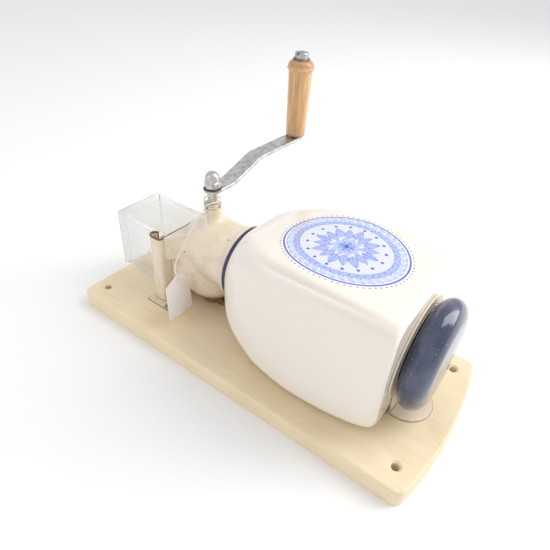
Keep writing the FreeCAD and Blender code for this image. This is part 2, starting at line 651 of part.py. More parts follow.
def make_crank_nut():
    """Cap nut: a hexagon with turned corners below a dome."""
    low, corner_r = d.arm_seat + d.arm_thick, d.nut_flats / math.sqrt(3)
    hexagon = doc.addObject("Part::Prism", "nut_hexagon")
    hexagon.Polygon = 6
    bind(hexagon, "Circumradius", corner_r)
    bind(hexagon, "Height", d.nut_tall)
    place(hexagon, (0, d.spindle_y, low))
    outline = turned("nut_outline", [
        (0, low), (d.nut_flats / 2, low), (corner_r, low + d.nut_corner),
        (corner_r, low + d.nut_hex - d.nut_corner), (d.nut_dome_r, low + d.nut_hex),
        (d.nut_dome_r, low + d.nut_tall - d.nut_dome_r, d.nut_dome_r), (0, low + d.nut_tall),
    ], SPINDLE)
    blank = doc.addObject("Part::MultiCommon", "nut_blank")
    blank.Shapes = [hexagon, outline]
    thread = cylinder("nut_thread", d.thread_r + d.running, d.spindle_top + d.chamfer - low,
                      (0, d.spindle_y, low))
    node(cut("nut", blank, thread), "crank_nut")


def make_handle():
    arm_top = d.arm_seat + d.arm_rise + d.arm_thick
    node(turned("grip_blank", [
        (d.grip_bore, d.grip_low), (d.grip_foot_r - d.grip_edge, d.grip_low),
        (d.grip_foot_r, d.grip_low + d.grip_edge), (d.grip_neck_r, d.grip_neck),
        (d.bead_r, d.bead_low, d.bead_round), (d.bead_r, d.bead_high, d.grip_shoulder),
        (d.grip_top_r, d.grip_top), (d.grip_bore, d.grip_top),
    ], HANDLE), "handle_grip")
    bolt = turned("bolt_blank", [
        (0, d.bolt_low), (d.bolt_r - d.chamfer, d.bolt_low), (d.bolt_r, d.bolt_low + d.chamfer),
        (d.bolt_r, d.bolt_head), (d.bolt_head_r, d.bolt_head),
        (d.bolt_head_r, d.bolt_top - d.bolt_round, d.bolt_sweep),
        (d.bolt_head_r - d.bolt_round, d.bolt_top), (0, d.bolt_top),
    ], HANDLE)
    reach, half = d.bolt_head_r + d.past, d.bolt_slot_wide / 2
    slot = box("bolt_slot", (-d.arm_reach - reach, d.spindle_y - half, d.bolt_slot_low),
               (-d.arm_reach + reach, d.spindle_y + half, d.bolt_top + d.past))
    node(cut("bolt", bolt, slot), "handle_bolt")
    for label, radius, low, high in (
        ("foot_washer", d.foot_washer_r, arm_top, d.grip_low - d.gap),
        ("top_washer", d.top_washer_r, d.grip_top + d.gap, d.bolt_head),
    ):
        node(turned(label + "_ring", [
            (d.bolt_r, low), (radius, low), (radius, high), (d.bolt_r, high),
        ], HANDLE), label)


# ---------------------------------------------------------------- cup and holder

def make_holder():
    """Sheet steel plate whose two sides are bent into channels for the cup's lips."""
    y, side, bend, curl, thick, low = (
        d.chute_y, d.channel_side, d.channel_bend, d.curl_r, d.sheet, d.curl_y)
    inner_curl, inner_bend = curl - thick, bend - thick
    curl_x = side - 2 * curl
    profile = plate("holder_profile", [
        (side - bend, y, -bend), (side, y - bend), (side, low, -curl), (side - curl, low - curl, -curl),
        (curl_x, low), (curl_x + thick, low, inner_curl), (side - curl, low - inner_curl, inner_curl),
        (side - thick, low), (side - thick, y - bend, inner_bend), (side - bend, y - thick),
        (bend - side, y - thick, inner_bend), (thick - side, y - bend), (thick - side, low, inner_curl),
        (curl - side, low - inner_curl, inner_curl), (-curl_x - thick, low), (-curl_x, low, -curl),
        (curl - side, low - curl, -curl), (-side, low), (-side, y - bend, -bend), (bend - side, y),
    ], d.channel_top - d.board_thick, (0, 0, d.board_thick))
    tab_in, stop_in, stop_out = side - thick, curl_x + 2 * thick, side - thick
    stop_top = d.cup_back - d.gap
    stop_low = stop_top - thick
    extras = [
        box("holder_tab_left", (-d.tab_side, d.tab_low, d.board_thick),
            (-tab_in, d.tab_high, d.board_thick + thick)),
        box("holder_tab_right", (tab_in, d.tab_low, d.board_thick),
            (d.tab_side, d.tab_high, d.board_thick + thick)),
        box("holder_stop_left", (-stop_out, low, stop_low), (-stop_in, y - thick, stop_top)),
        box("holder_stop_right", (stop_in, low, stop_low), (stop_out, y - thick, stop_top)),
    ]
    window = box("holder_window", (-d.window_side, y - 2 * thick, d.chute_back + d.outlet_edge),
                 (d.window_side, y + d.past, d.cup_front - d.glass))
    holes = [
        cylinder(f"tab_hole_{name}", d.wood_screw_r, 2 * thick + d.past,
                 (*WOOD_SCREWS[name], d.board_thick - d.past))
        for name in ("holder_left", "holder_right")
    ]
    node(cut("holder", fuse("holder_sheet", profile, *extras), window, *holes), "cup_holder")


def make_cup():
    """Square glass cup, open up the wall, with a lip along each side of its mouth."""
    deep, at = d.cup_mouth - d.cup_low, (0, d.cup_mouth, 0)
    outside = plate("cup_outside", rounded(-d.cup_side, d.cup_side, d.cup_back, d.cup_front,
                                           d.cup_corner), deep, at, DOWN_THE_WALL)
    lips = plate("cup_lips", rounded(-d.lip_side, d.lip_side, d.cup_back, d.cup_front,
                                     d.cup_corner), d.lip_deep, at, DOWN_THE_WALL)
    inner = d.cup_side - d.glass
    hollow = plate("cup_hollow", rounded(-inner, inner, d.cup_back + d.glass,
                                         d.cup_front - d.glass, d.cup_corner),
                   deep - d.cup_floor, at, DOWN_THE_WALL)
    node(cut("cup", fuse("cup_solid", outside, lips), hollow), "glass_cup")


# ---------------------------------------------------------------- jar, gasket, bracket and lid

JAR_STATIONS = (
    # height above the jar's foot, half-width and corner radius as shares of the widest half-width
    (0.0, 0.574, 0.56), (5.0, 0.690, 0.57), (12.0, 0.790, 0.52), (25.0, 0.875, 0.42),
    (55.0, 0.967, 0.26), (89.0, 1.0, 0.21), (118.0, 0.984, 0.20), (143.0, 0.946, 0.20),
    (155.0, 0.905, 0.20), (158.6, 0.875, 0.20), (160.3, 0.830, 0.20),
)
JAR_FLOOR = 4.0
JAR_SHOULDER = 3.0


def jar_section(height, half, corner):
    """Square outline with round corners across the jar's axis."""
    squareness = 1 - corner / half
    deep = half * (1 - squareness * (1 - d.jar_half_deep.value / d.jar_half.value))
    flat_x, flat_z = half - corner, deep - corner
    slant = corner * math.sqrt(0.5)
    edges = []
    for x, z in ((1, 1), (-1, 1), (-1, -1), (1, -1)):
        centre = Vector(x * flat_x, height, z * flat_z)
        side, tip = Vector(x * corner, 0, 0), Vector(x * slant, 0, z * slant)
        cap = Vector(0, 0, z * corner)
        start, stop = (side, cap) if x * z > 0 else (cap, side)
        edges.append((centre + start, centre + tip, centre + stop))
    outline = []
    for corner_here, corner_next in zip(edges, edges[1:] + edges[:1]):
        outline.append(Part.Arc(*corner_here).toShape())
        outline.append(Part.LineSegment(corner_here[2], corner_next[0]).toShape())
    return Part.Wire(outline)


def jar_solid(inset, low, high):
    """Loft through the stations between two heights, drawn in by inset."""
    wires = []
    for height, share, corner_share in JAR_STATIONS:
        if low <= height <= high:
            half, corner = share * d.jar_half.value, corner_share * d.jar_half.value
            wires.append(jar_section(height, half - inset, corner - inset))
    return Part.makeLoft(wires, True, False)


def make_jar():
    height = d.jar_end.value - d.jar_foot.value
    spigot_low = d.neck_seat.value - d.jar_foot.value
    neck_high = d.neck_top.value - d.jar_foot.value
    outside = jar_solid(0, 0, height)
    inside = jar_solid(d.jar_wall.value, JAR_FLOOR, height - JAR_SHOULDER)
    solids = []
    for radius, low, high in (
        (d.spigot_r, spigot_low, d.neck_bite.value),
        (d.neck_r, height - d.neck_bite.value, neck_high),
        (d.spigot_bore, spigot_low, 2 * d.jar_wall.value + JAR_FLOOR),
        (d.neck_bore, height - 2 * d.jar_wall.value, neck_high),
    ):
        solids.append(Part.makeCylinder(radius.value, high - low, Vector(0, low, 0), Vector(0, 1, 0)))
    spigot, neck, low_bore, top_bore = solids
    shape = outside.fuse([spigot, neck]).cut([inside, low_bore, top_bore])
    jar = doc.addObject("Part::Feature", "jar_shell")
    jar.Shape = shape.Solids[0]
    place(jar, (0, d.jar_foot, d.jar_z))
    node(jar, "jar")
    edge = d.gasket_edge
    node(turned("gasket", [
        (d.neck_bore_r, d.gasket_low), (d.gasket_r - edge, d.gasket_low),
        (d.gasket_r, d.gasket_low + edge), (d.gasket_r, d.gasket_top - edge),
        (d.gasket_r - edge, d.gasket_top), (d.neck_bore_r, d.gasket_top),
    ], (0, 0, d.jar_z), UP_THE_WALL), "jar_gasket")


def make_bracket():
    """Ring under the jar's neck, bent at the board into a round-ended tongue."""
    low, high = d.bracket_low, d.bracket_top
    tongue_top = d.board_thick + d.sheet
    ring = cylinder("bracket_ring", d.bracket_r, high - low, (0, low, d.jar_z), UP_THE_WALL)
    upright = box("bracket_upright", (-d.tongue_r, low, d.board_thick), (d.tongue_r, high, d.jar_z))
    flat = box("bracket_flat", (-d.tongue_r, low, d.board_thick),
               (d.tongue_r, d.tongue_y, tongue_top))
    tongue = cylinder("bracket_tongue", d.tongue_r, d.sheet, (0, d.tongue_y, d.board_thick))
    opening = cylinder("bracket_opening", d.bracket_bore, high - low + 2 * d.past,
                       (0, low - d.past, d.jar_z), UP_THE_WALL)
    behind = box("bracket_behind", (-d.tongue_r, low - d.tongue_r, d.board_thick),
                 (d.tongue_r, low, tongue_top))
    hole = cylinder("bracket_hole", d.wood_screw_r, d.sheet + 2 * d.past,
                    (*WOOD_SCREWS["bracket"], d.board_thick - d.past))
    sheet_shape = fuse("bracket_sheet", ring, upright, flat, tongue)
    node(cut("bracket", sheet_shape, opening, behind, hole), "jar_bracket")


def make_lid():
    axis = (0, 0, d.jar_z)
    groove_r, edge = d.plug_r - d.groove_deep, d.plug_edge
    node(turned("lid_shape", [
        (d.lid_bore, d.plug_low), (d.plug_r - edge, d.plug_low), (d.plug_r, d.plug_low + edge),
        (d.plug_r, d.groove_low), (groove_r, d.groove_low), (groove_r, d.groove_high),
        (d.plug_r, d.groove_high), (d.plug_r, d.lid_low), (d.lid_flat, d.lid_low, d.lid_sweep),
        (d.lid_r, d.lid_rim_y, d.lid_sweep), (d.lid_flat, d.lid_top),
        (0, d.lid_top + d.lid_crown), (0, d.lid_top - d.lid_thick),
        (d.lid_bore, d.lid_top - 2 * d.lid_thick),
    ], axis, UP_THE_WALL), "lid")
    node(turned("seal_shape", [
        (groove_r, d.groove_low), (d.seal_r, d.groove_low + d.seal_land, d.seal_round),
        (d.seal_r, d.groove_high - d.seal_land), (groove_r, d.groove_high),
    ], axis, UP_THE_WALL), "lid_seal")


# ---------------------------------------------------------------- swing tag on its string

# From the frayed end, round the spindle above the adjusting bush, and down to the tag's eye.
STRING_ROUTE = [
    (14.4, -64.2, 104.8), (10.8, -67.6, 110.2), (9.5, -69.2, 116.4), (9.6, -70.2, 121.8),
    (7.6, -72.8, 126.0), (2.8, -76.2, 127.2), (-3.4, -75.8, 127.0), (-7.2, -71.4, 127.2),
    (-6.4, -65.2, 126.8), (-1.2, -61.6, 127.0), (5.0, -62.6, 127.4), (9.6, -66.2, 126.6),
    (11.6, -69.6, 120.8), (15.6, -72.4, 112.6), (22.5, -74.9, 103.1), (31.0, -76.2, 91.4),
    (38.6, -77.4, 80.2), (43.4, -76.6, 74.4), (46.4, -73.8, 70.6), (46.6, -70.6, 65.8),
    (44.8, -70.2, 62.2), (45.2, -72.2, 59.0),
]
TAG_EYE = Vector(45.05, -71.6, 59.2)
TAG_UP = Vector(-0.051, -0.100, 0.994)
TAG_ACROSS = Vector(0.984, 0.159, 0.064)


def make_string():
    points = [Vector(*point) for point in STRING_ROUTE]
    path, radii = rounded_path(points)
    circle = Part.Wire(Part.makeCircle(d.string_r.value, points[0], points[1] - points[0]))
    string = doc.addObject("Part::Feature", "string_tube")
    string.Shape = path.makePipeShell([circle], True, False)
    node(string, "tag_string")
    runs = [(after - before).Length for before, after in zip(points, points[1:])]
    print("string length", round(path.Length, 1), "radii", [round(radius, 1) for radius in radii])
    print("string runs", [round(run, 1) for run in runs])
    print("string volume", round(string.Shape.Volume, 2),
          "of", round(path.Length * math.pi * d.string_r.value ** 2, 2))


def make_tag():
    """Card with clipped top corners, its eye level with its shoulders."""
    half, peak = d.tag_wide / 2, d.tag_peak_wide / 2
    card = plate("tag_card", [
        (-half, -d.tag_long), (half, -d.tag_long), (half, as_size(0)), (peak, d.tag_peak),
        (-peak, d.tag_peak), (-half, as_size(0)),
    ], d.tag_thick, (0, 0, 0))
    eye = cylinder("tag_eye", d.tag_eye_r, 2 * d.past + d.tag_thick, (0, 0, -d.past))
    tag = cut("tag", card, eye)
    outward = TAG_ACROSS.cross(TAG_UP)
    tag.Placement = Placement(TAG_EYE, Rotation(TAG_ACROSS, TAG_UP, outward, "ZYX"))
    node(tag, "swing_tag")


# ---------------------------------------------------------------- build, check and write

def find_faults():
    faults = []
    for item in doc.Objects:
        if {"Invalid", "Error"} & set(item.State):
            faults.append(f"{item.Name}: {item.State}")
    for item in nodes:
        shape = item.Shape
        if shape.isNull() or not shape.isValid() or not shape.Solids:
            faults.append(f"{item.Label}: bad shape")
    return faults


for make in (
    make_wall_board, make_screws, make_mill_body, make_burrs, make_spindle, make_bearings,
    make_spring, make_crank_arm, make_crank_nut, make_handle, make_holder, make_cup, make_jar,
    make_bracket, make_lid, make_string, make_tag,
):
    make()
doc.recompute()
faults = find_faults()
if faults:
    raise SystemExit("\n".join(faults))
os.makedirs("parts", exist_ok=True)
for item in nodes:
    item.Shape.exportStep(f"parts/{item.Label}.step")
    print(item.Label, len(item.Shape.Solids), round(item.Shape.Volume / 1000, 2), "cm3")
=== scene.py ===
import json
import math

import bmesh
import bpy
import numpy as np
from mathutils import Matrix, Vector


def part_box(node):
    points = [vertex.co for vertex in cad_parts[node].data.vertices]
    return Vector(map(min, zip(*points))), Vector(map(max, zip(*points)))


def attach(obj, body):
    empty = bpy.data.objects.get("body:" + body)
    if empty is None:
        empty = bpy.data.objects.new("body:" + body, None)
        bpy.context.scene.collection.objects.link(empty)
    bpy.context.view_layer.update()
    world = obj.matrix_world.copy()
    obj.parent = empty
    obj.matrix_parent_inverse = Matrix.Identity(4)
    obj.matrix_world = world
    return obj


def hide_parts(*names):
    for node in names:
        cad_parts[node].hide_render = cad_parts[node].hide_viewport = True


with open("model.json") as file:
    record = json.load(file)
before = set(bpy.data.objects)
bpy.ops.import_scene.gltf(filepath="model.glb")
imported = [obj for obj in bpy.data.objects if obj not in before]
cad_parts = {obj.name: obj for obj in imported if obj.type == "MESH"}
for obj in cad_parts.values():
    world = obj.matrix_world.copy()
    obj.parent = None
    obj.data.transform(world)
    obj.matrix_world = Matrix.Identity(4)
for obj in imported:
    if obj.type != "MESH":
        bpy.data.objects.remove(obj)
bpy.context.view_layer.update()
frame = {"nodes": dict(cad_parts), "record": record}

# Points and sizes are in millimetres in the model's own frame, and become metres in piece().
MM = 0.001
scene = bpy.context.scene
rng = np.random.default_rng(7)


def middle(node):
    """Middle of a CAD node's box, in millimetres."""
    low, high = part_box(node)
    return (low + high) / 2 / MM


def top(node, axis):
    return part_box(node)[1][axis] / MM


def bottom(node, axis):
    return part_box(node)[0][axis] / MM


X, Y, Z = 0, 1, 2
SPINDLE_Y = middle("adjusting_bush")[Y]
JAR_Z = middle("jar_gasket")[Z]
HANDLE = Vector((middle("handle_grip")[X], SPINDLE_Y, 0))

# ---------------------------------------------------------------- camera

CAMERA_PLACE = (0.28155, 0.19165, 0.33468)
CAMERA_AHEAD = (-0.66254, -0.44327, -0.60378)
CAMERA_RIGHT = (-0.59169, 0.80400, 0.05902)
CAMERA_LENS = 31.532


def make_camera():
    """Camera looking down on the mill as it lies on its back, turned a little about its line of sight."""
    ahead = Vector(CAMERA_AHEAD).normalized()
    right = Vector(CAMERA_RIGHT)
    right = (right - ahead * right.dot(ahead)).normalized()
    turn = Matrix((right, right.cross(ahead), -ahead)).transposed().to_4x4()
    camera = bpy.data.objects.new("camera", bpy.data.cameras.new("camera"))
    scene.collection.objects.link(camera)
    camera.matrix_world = Matrix.Translation(Vector(CAMERA_PLACE)) @ turn
    camera.data.sensor_width = 36
    camera.data.lens = CAMERA_LENS
    camera.data.clip_start = 0.01
    scene.camera = camera


make_camera()

# ---------------------------------------------------------------- materials

# Where painted shade, dirt and wear set in and where they are full, along an axis in millimetres
# painted shade: the casting darkens to brownish orange from here down towards the board
UNDERSIDE_SHADE = (46, 30)
TUBE_RIM = (109, 111)
HOLDER = (-80, -84)
BRACKET_TONGUE = (30, 22)
HOLDER_TOP_EDGE = (88.8, 90.8)
GRIP_TOP = (216.5, 220.5)
GRIP_FOOT = (155, 152.5)
NUT_SEAT = 138.4
# Cosines between a face's own normal and the rounded one: about 4 degrees and 22 degrees
EDGE_STARTS, EDGE_FULL = 0.998, 0.93


class Look:
    """A Principled material and short ways to give it patterns that stay with the piece."""

    def __init__(self, name, colour, roughness, **sockets):
        self.material = bpy.data.materials.new(name)
        self.material.use_nodes = True
        self.tree = self.material.node_tree
        self.shader = self.tree.nodes["Principled BSDF"]
        self.shader.inputs["Base Color"].default_value = (*colour, 1)
        self.shader.inputs["Roughness"].default_value = roughness
        for socket, value in sockets.items():
            self.shader.inputs[socket.replace("_", " ")].default_value = value
        self.place = self.add("ShaderNodeTexCoord").outputs["Object"]
        self.normal = None

    def add(self, kind, inputs=None, **settings):
        node = self.tree.nodes.new(kind)
        for name, value in settings.items():
            setattr(node, name, value)
        for name, value in (inputs or {}).items():
            self.put(node.inputs[name], value)
        return node

    def put(self, socket, value):
        if isinstance(value, bpy.types.NodeSocket):
            self.tree.links.new(value, socket)
        else:
            socket.default_value = value

    def moved(self, stretch, shift=(0, 0, 0)):
        return self.add("ShaderNodeMapping", {"Vector": self.place, "Scale": stretch,
                                              "Location": shift}).outputs[0]

    def noise(self, size, detail=3.0, stretch=(1, 1, 1), shift=(0, 0, 0), twist=0.0):
        """Cloudy pattern from 0 to 1 whose lumps are about size millimetres wide."""
        inputs = {"Vector": self.moved(stretch, shift), "Scale": 1 / (size * MM), "Detail": detail,
                  "Distortion": twist}
        return self.add("ShaderNodeTexNoise", inputs).outputs["Fac"]

    def cells(self, size):
        """Distance from the nearest of scattered dots that are about size millimetres apart."""
        inputs = {"Vector": self.place, "Scale": 1 / (size * MM)}
        return self.add("ShaderNodeTexVoronoi", inputs).outputs["Distance"]

    def along(self, axis):
        """Place along an axis, in metres."""
        return self.add("ShaderNodeSeparateXYZ", {"Vector": self.place}).outputs[axis]

    def away(self, point):
        """Distance from a point given in millimetres, in metres."""
        there = tuple(value * MM for value in point)
        inputs = {0: self.place, 1: there}
        return self.add("ShaderNodeVectorMath", inputs, operation="DISTANCE").outputs["Value"]

    def edges(self, reach):
        """1 along hard edges and 0 on open faces, over about reach millimetres."""
        rounded = self.add("ShaderNodeBevel", {"Radius": reach * MM}, samples=6).outputs["Normal"]
        plain = self.add("ShaderNodeNewGeometry").outputs["Normal"]
        same = self.add("ShaderNodeVectorMath", {0: rounded, 1: plain}, operation="DOT_PRODUCT")
        return self.fade(same.outputs["Value"], EDGE_STARTS, EDGE_FULL)

    def fade(self, value, low, high):
        """0 below low and 1 above high, or the other way round when low is the larger."""
        inputs = {"Value": value, "From Min": low, "From Max": high}
        return self.add("ShaderNodeMapRange", inputs, interpolation_type="SMOOTHSTEP").outputs[0]

    def zone(self, axis, reach):
        """0 to 1 between two places along an axis, in millimetres."""
        return self.fade(self.along(axis), reach[0] * MM, reach[1] * MM)

    def sum(self, operation, first, second):
        return self.add("ShaderNodeMath", {0: first, 1: second}, operation=operation).outputs[0]

    def blend(self, share, first, second):
        node = self.add("ShaderNodeMix", data_type="RGBA")
        for socket, value in ((0, share), (6, first), (7, second)):
            colour = socket and not isinstance(value, bpy.types.NodeSocket)
            self.put(node.inputs[socket], (*value, 1) if colour else value)
        return node.outputs[2]

    def attribute(self, name):
        return self.add("ShaderNodeAttribute", attribute_name=name).outputs["Fac"]

    def colour(self, value):
        self.put(self.shader.inputs["Base Color"], value)

    def gloss(self, share, first, second):
        """Roughness from first to second."""
        inputs = {"Value": share, "To Min": first, "To Max": second}
        self.put(self.shader.inputs["Roughness"], self.add("ShaderNodeMapRange", inputs).outputs[0])

    def bump(self, height, depth):
        """Raise the surface by depth millimetres where height is 1."""
        inputs = {"Height": height, "Distance": depth * MM, "Strength": 1.0}
        if self.normal:
            inputs["Normal"] = self.normal
        self.normal = self.add("ShaderNodeBump", inputs).outputs[0]
        self.put(self.shader.inputs["Normal"], self.normal)


def board_look():
    look = Look("board_paint", (0.83, 0.70, 0.50), 0.42)
    clouds = look.noise(45, 4)
    strokes = look.noise(3, 4, (1, 0.05, 1))
    tone = look.blend(look.fade(clouds, 0.3, 0.7), (0.80, 0.655, 0.43), (0.86, 0.725, 0.505))
    tone = look.blend(look.sum("MULTIPLY", look.fade(strokes, 0.45, 0.75), 0.35), tone, (0.74, 0.60, 0.40))
    rub = look.fade(look.noise(14, 6, (1, 0.6, 1)), 0.64, 0.72)
    look.colour(look.blend(look.sum("MULTIPLY", rub, 0.25), tone, (0.60, 0.46, 0.30)))
    look.gloss(look.noise(8), 0.30, 0.55)
    look.bump(strokes, 0.10)
    look.bump(look.noise(12, 2), 0.25)
    return look


def cast_look():
    look = Look("body_enamel", (0.86, 0.76, 0.62), 0.28, Coat_Weight=0.35, Coat_Roughness=0.12)
    clouds = look.fade(look.noise(16, 4), 0.3, 0.7)
    tone = look.blend(clouds, (0.73, 0.61, 0.45), (0.82, 0.72, 0.57))
    # painted shade: the casting turns brownish orange towards the board, where shade falls under it
    painted_shade = look.sum("MULTIPLY", look.zone(Z, UNDERSIDE_SHADE), 0.65)
    tone = look.blend(painted_shade, tone, (0.45, 0.24, 0.10))
    spots = look.sum("MULTIPLY", look.fade(look.cells(9), 0.12, 0.07),
                     look.fade(look.noise(30, 2, shift=(3, 1, 2)), 0.46, 0.56))
    rim = look.sum("MULTIPLY", look.edges(0.7), look.zone(Z, TUBE_RIM))
    bare = look.fade(look.sum("ADD", rim, look.noise(2, 4)), 0.86, 1.08)
    tone = look.blend(bare, tone, (0.20, 0.09, 0.04))
    look.colour(look.blend(spots, tone, (0.12, 0.07, 0.045)))
    look.gloss(look.noise(5), 0.2, 0.42)
    look.bump(look.noise(5, 3), 0.10)
    look.bump(spots, -0.15)
    return look


def sheet_look():
    look = Look("holder_paint", (0.86, 0.77, 0.62), 0.3, Coat_Weight=0.3, Coat_Roughness=0.15)
    tone = look.blend(look.fade(look.noise(12, 4), 0.3, 0.7), (0.76, 0.64, 0.48), (0.84, 0.74, 0.60))
    # the holder and the bracket's tongue are chipped, and the bracket's ring behind the lid isn't
    handled = look.sum("MAXIMUM", look.zone(Y, HOLDER), look.zone(Z, BRACKET_TONGUE))
    plate_top = look.sum("MULTIPLY", look.zone(Z, HOLDER_TOP_EDGE), look.zone(Y, HOLDER))
    edges = look.sum("MAXIMUM", look.sum("MULTIPLY", look.edges(1.3), handled), plate_top)
    ragged = look.sum("MULTIPLY", look.noise(2.2, 5), 0.9)
    wear = look.fade(look.sum("ADD", edges, ragged), 0.70, 0.86)
    rust = look.blend(look.noise(1.2), (0.07, 0.035, 0.02), (0.28, 0.13, 0.05))
    look.colour(look.blend(wear, tone, rust))
    look.gloss(wear, 0.26, 0.7)
    look.bump(wear, -0.08)
    look.bump(look.noise(3, 2), 0.05)
    return look


def iron_look():
    look = Look("raw_iron", (0.20, 0.11, 0.06), 0.65, Metallic=0.3)
    look.colour(look.blend(look.fade(look.noise(3, 5), 0.35, 0.65), (0.16, 0.09, 0.05),
                           (0.36, 0.20, 0.10)))
    look.bump(look.noise(1.2, 4), 0.2)
    return look


def glaze_look():
    look = Look("jar_glaze", (0.86, 0.84, 0.80), 0.12, Coat_Weight=0.5, Coat_Roughness=0.04)
    ink = look.sum("MULTIPLY", look.attribute("ink"), look.fade(look.noise(0.9, 4), -0.2, 0.55))
    ramp = look.add("ShaderNodeValToRGB", {"Fac": ink})
    stops = ((0.0, (0.86, 0.80, 0.72)), (0.3, (0.56, 0.63, 0.86)), (0.6, (0.16, 0.25, 0.68)),
             (1.0, (0.035, 0.055, 0.36)))
    while len(ramp.color_ramp.elements) < len(stops):
        ramp.color_ramp.elements.new(0.5)
    for element, (place, tone) in zip(ramp.color_ramp.elements, stops):
        element.position = place
        element.color = (*tone, 1)
    specks = look.fade(look.cells(14), 0.035, 0.02)
    look.colour(look.blend(look.sum("MULTIPLY", specks, 0.6), ramp.outputs[0], (0.42, 0.33, 0.25)))
    look.gloss(look.noise(20), 0.08, 0.16)
    look.bump(look.noise(26, 1), 0.35)
    look.bump(ink, 0.02)
    return look


def lid_look():
    look = Look("lid_gloss", (0.030, 0.036, 0.085), 0.2, Coat_Weight=0.4, Coat_Roughness=0.08)
    haze = look.fade(look.noise(18, 4), 0.35, 0.75)
    tone = look.blend(haze, (0.030, 0.038, 0.085), (0.075, 0.088, 0.15))
    dust = look.sum("MULTIPLY", look.fade(look.cells(1.9), 0.13, 0.08),
                    look.fade(look.noise(7, 3), 0.48, 0.56))
    lint = look.fade(look.noise(1.5, 6, (0.25, 1, 0.25), twist=1.5), 0.74, 0.78)
    marks = look.sum("MAXIMUM", dust, look.sum("MULTIPLY", lint, 0.7))
    look.colour(look.blend(marks, tone, (0.62, 0.62, 0.64)))
    look.gloss(look.sum("ADD", marks, look.sum("MULTIPLY", haze, 0.3)), 0.13, 0.5)
    look.bump(look.noise(9, 2), 0.12)
    return look


def gasket_look():
    look = Look("gasket_rubber", (0.036, 0.034, 0.105), 0.5)
    look.colour(look.blend(look.noise(6, 4), (0.025, 0.024, 0.08), (0.06, 0.055, 0.15)))
    look.gloss(look.noise(3), 0.35, 0.65)
    look.bump(look.noise(1, 3), 0.05)
    return look


def seal_look():
    look = Look("seal_rubber", (0.03, 0.03, 0.03), 0.6)
    look.colour(look.blend(look.noise(4), (0.02, 0.02, 0.02), (0.06, 0.06, 0.06)))
    look.bump(look.noise(0.8), 0.04)
    return look


def glass_look():
    look = Look("cup_glass", (0.95, 0.975, 0.96), 0.01, Transmission_Weight=1.0, IOR=1.45)
    rims = look.edges(2.2)
    look.colour(look.blend(rims, (0.95, 0.975, 0.96), (0.42, 0.50, 0.45)))
    look.put(look.shader.inputs["Alpha"], look.fade(rims, -0.9, 1.3))
    look.gloss(look.noise(20, 4), 0.0, 0.07)
    look.bump(look.noise(22, 2), 0.5)
    return look


def metal_look(name, bright, dull, rough, pits, stain_and_shade):
    """Old metal: pitted plate with dull patches, and a dark ring of rust and painted shade where the crank's
    nut sits.
    """
    look = Look(name, bright, rough[0], Metallic=1.0)
    patch = look.fade(look.noise(5, 5), 0.4, 0.7)
    tone = look.blend(patch, bright, dull)
    scattered = look.sum("ADD", look.cells(1.6), look.sum("MULTIPLY", look.noise(4, 4), 0.5))
    spots = look.fade(scattered, pits + 0.06, pits)
    # rust and painted shade: a dark ring round the foot of the crank's nut, where it meets the arm
    nut_ring_rust_and_shade = look.sum("ABSOLUTE", look.sum("SUBTRACT", look.along(Z), NUT_SEAT * MM), 0)
    under_nut = look.fade(look.away((0, SPINDLE_Y, NUT_SEAT)), 0.0088, 0.0080)
    nut_ring_rust_and_shade = look.sum("MULTIPLY", look.fade(nut_ring_rust_and_shade, 0.0014, 0.0005), under_nut)
    spots = look.sum("MAXIMUM", spots, nut_ring_rust_and_shade)
    look.colour(look.blend(spots, tone, stain_and_shade))
    look.put(look.shader.inputs["Metallic"], look.sum("SUBTRACT", 1.0, look.sum("MULTIPLY", spots, 0.8)))
    look.gloss(look.sum("ADD", patch, spots), *rough)
    look.bump(look.noise(0.5, 4), 0.03)
    look.bump(spots, -0.08)
    return look


def wood_look():
    look = Look("grip_wood", (0.72, 0.46, 0.22), 0.35, Coat_Weight=0.25, Coat_Roughness=0.2)
    rings = look.noise(2.2, 3, (1, 1, 0.06), twist=0.6)
    pores = look.fade(look.noise(0.45, 2, (1, 1, 0.09)), 0.60, 0.70)
    tone = look.blend(look.fade(rings, 0.3, 0.7), (0.56, 0.31, 0.14), (0.76, 0.49, 0.235))
    tone = look.blend(look.sum("MULTIPLY", pores, 0.5), tone, (0.30, 0.14, 0.05))
    ends = look.sum("MAXIMUM", look.zone(Z, GRIP_TOP), look.zone(Z, GRIP_FOOT))
    look.colour(look.blend(look.sum("MULTIPLY", ends, 0.45), tone, (0.30, 0.15, 0.06)))
    look.gloss(rings, 0.28, 0.5)
    look.bump(pores, -0.06)
    look.bump(rings, 0.04)
    return look


def cord_look():
    look = Look("string_cotton", (0.86, 0.85, 0.83), 0.85, Sheen_Weight=0.4)
    look.colour(look.blend(look.noise(0.8, 4), (0.70, 0.69, 0.67), (0.90, 0.89, 0.87)))
    look.bump(look.noise(0.25, 3, (1, 1, 0.4)), 0.08)
    return look


def card_look():
    look = Look("tag_card", (0.80, 0.74, 0.75), 0.75)
    look.colour(look.blend(look.noise(9, 3), (0.92, 0.85, 0.84), (0.97, 0.93, 0.92)))
    look.bump(look.noise(0.6, 5), 0.03)
    return look


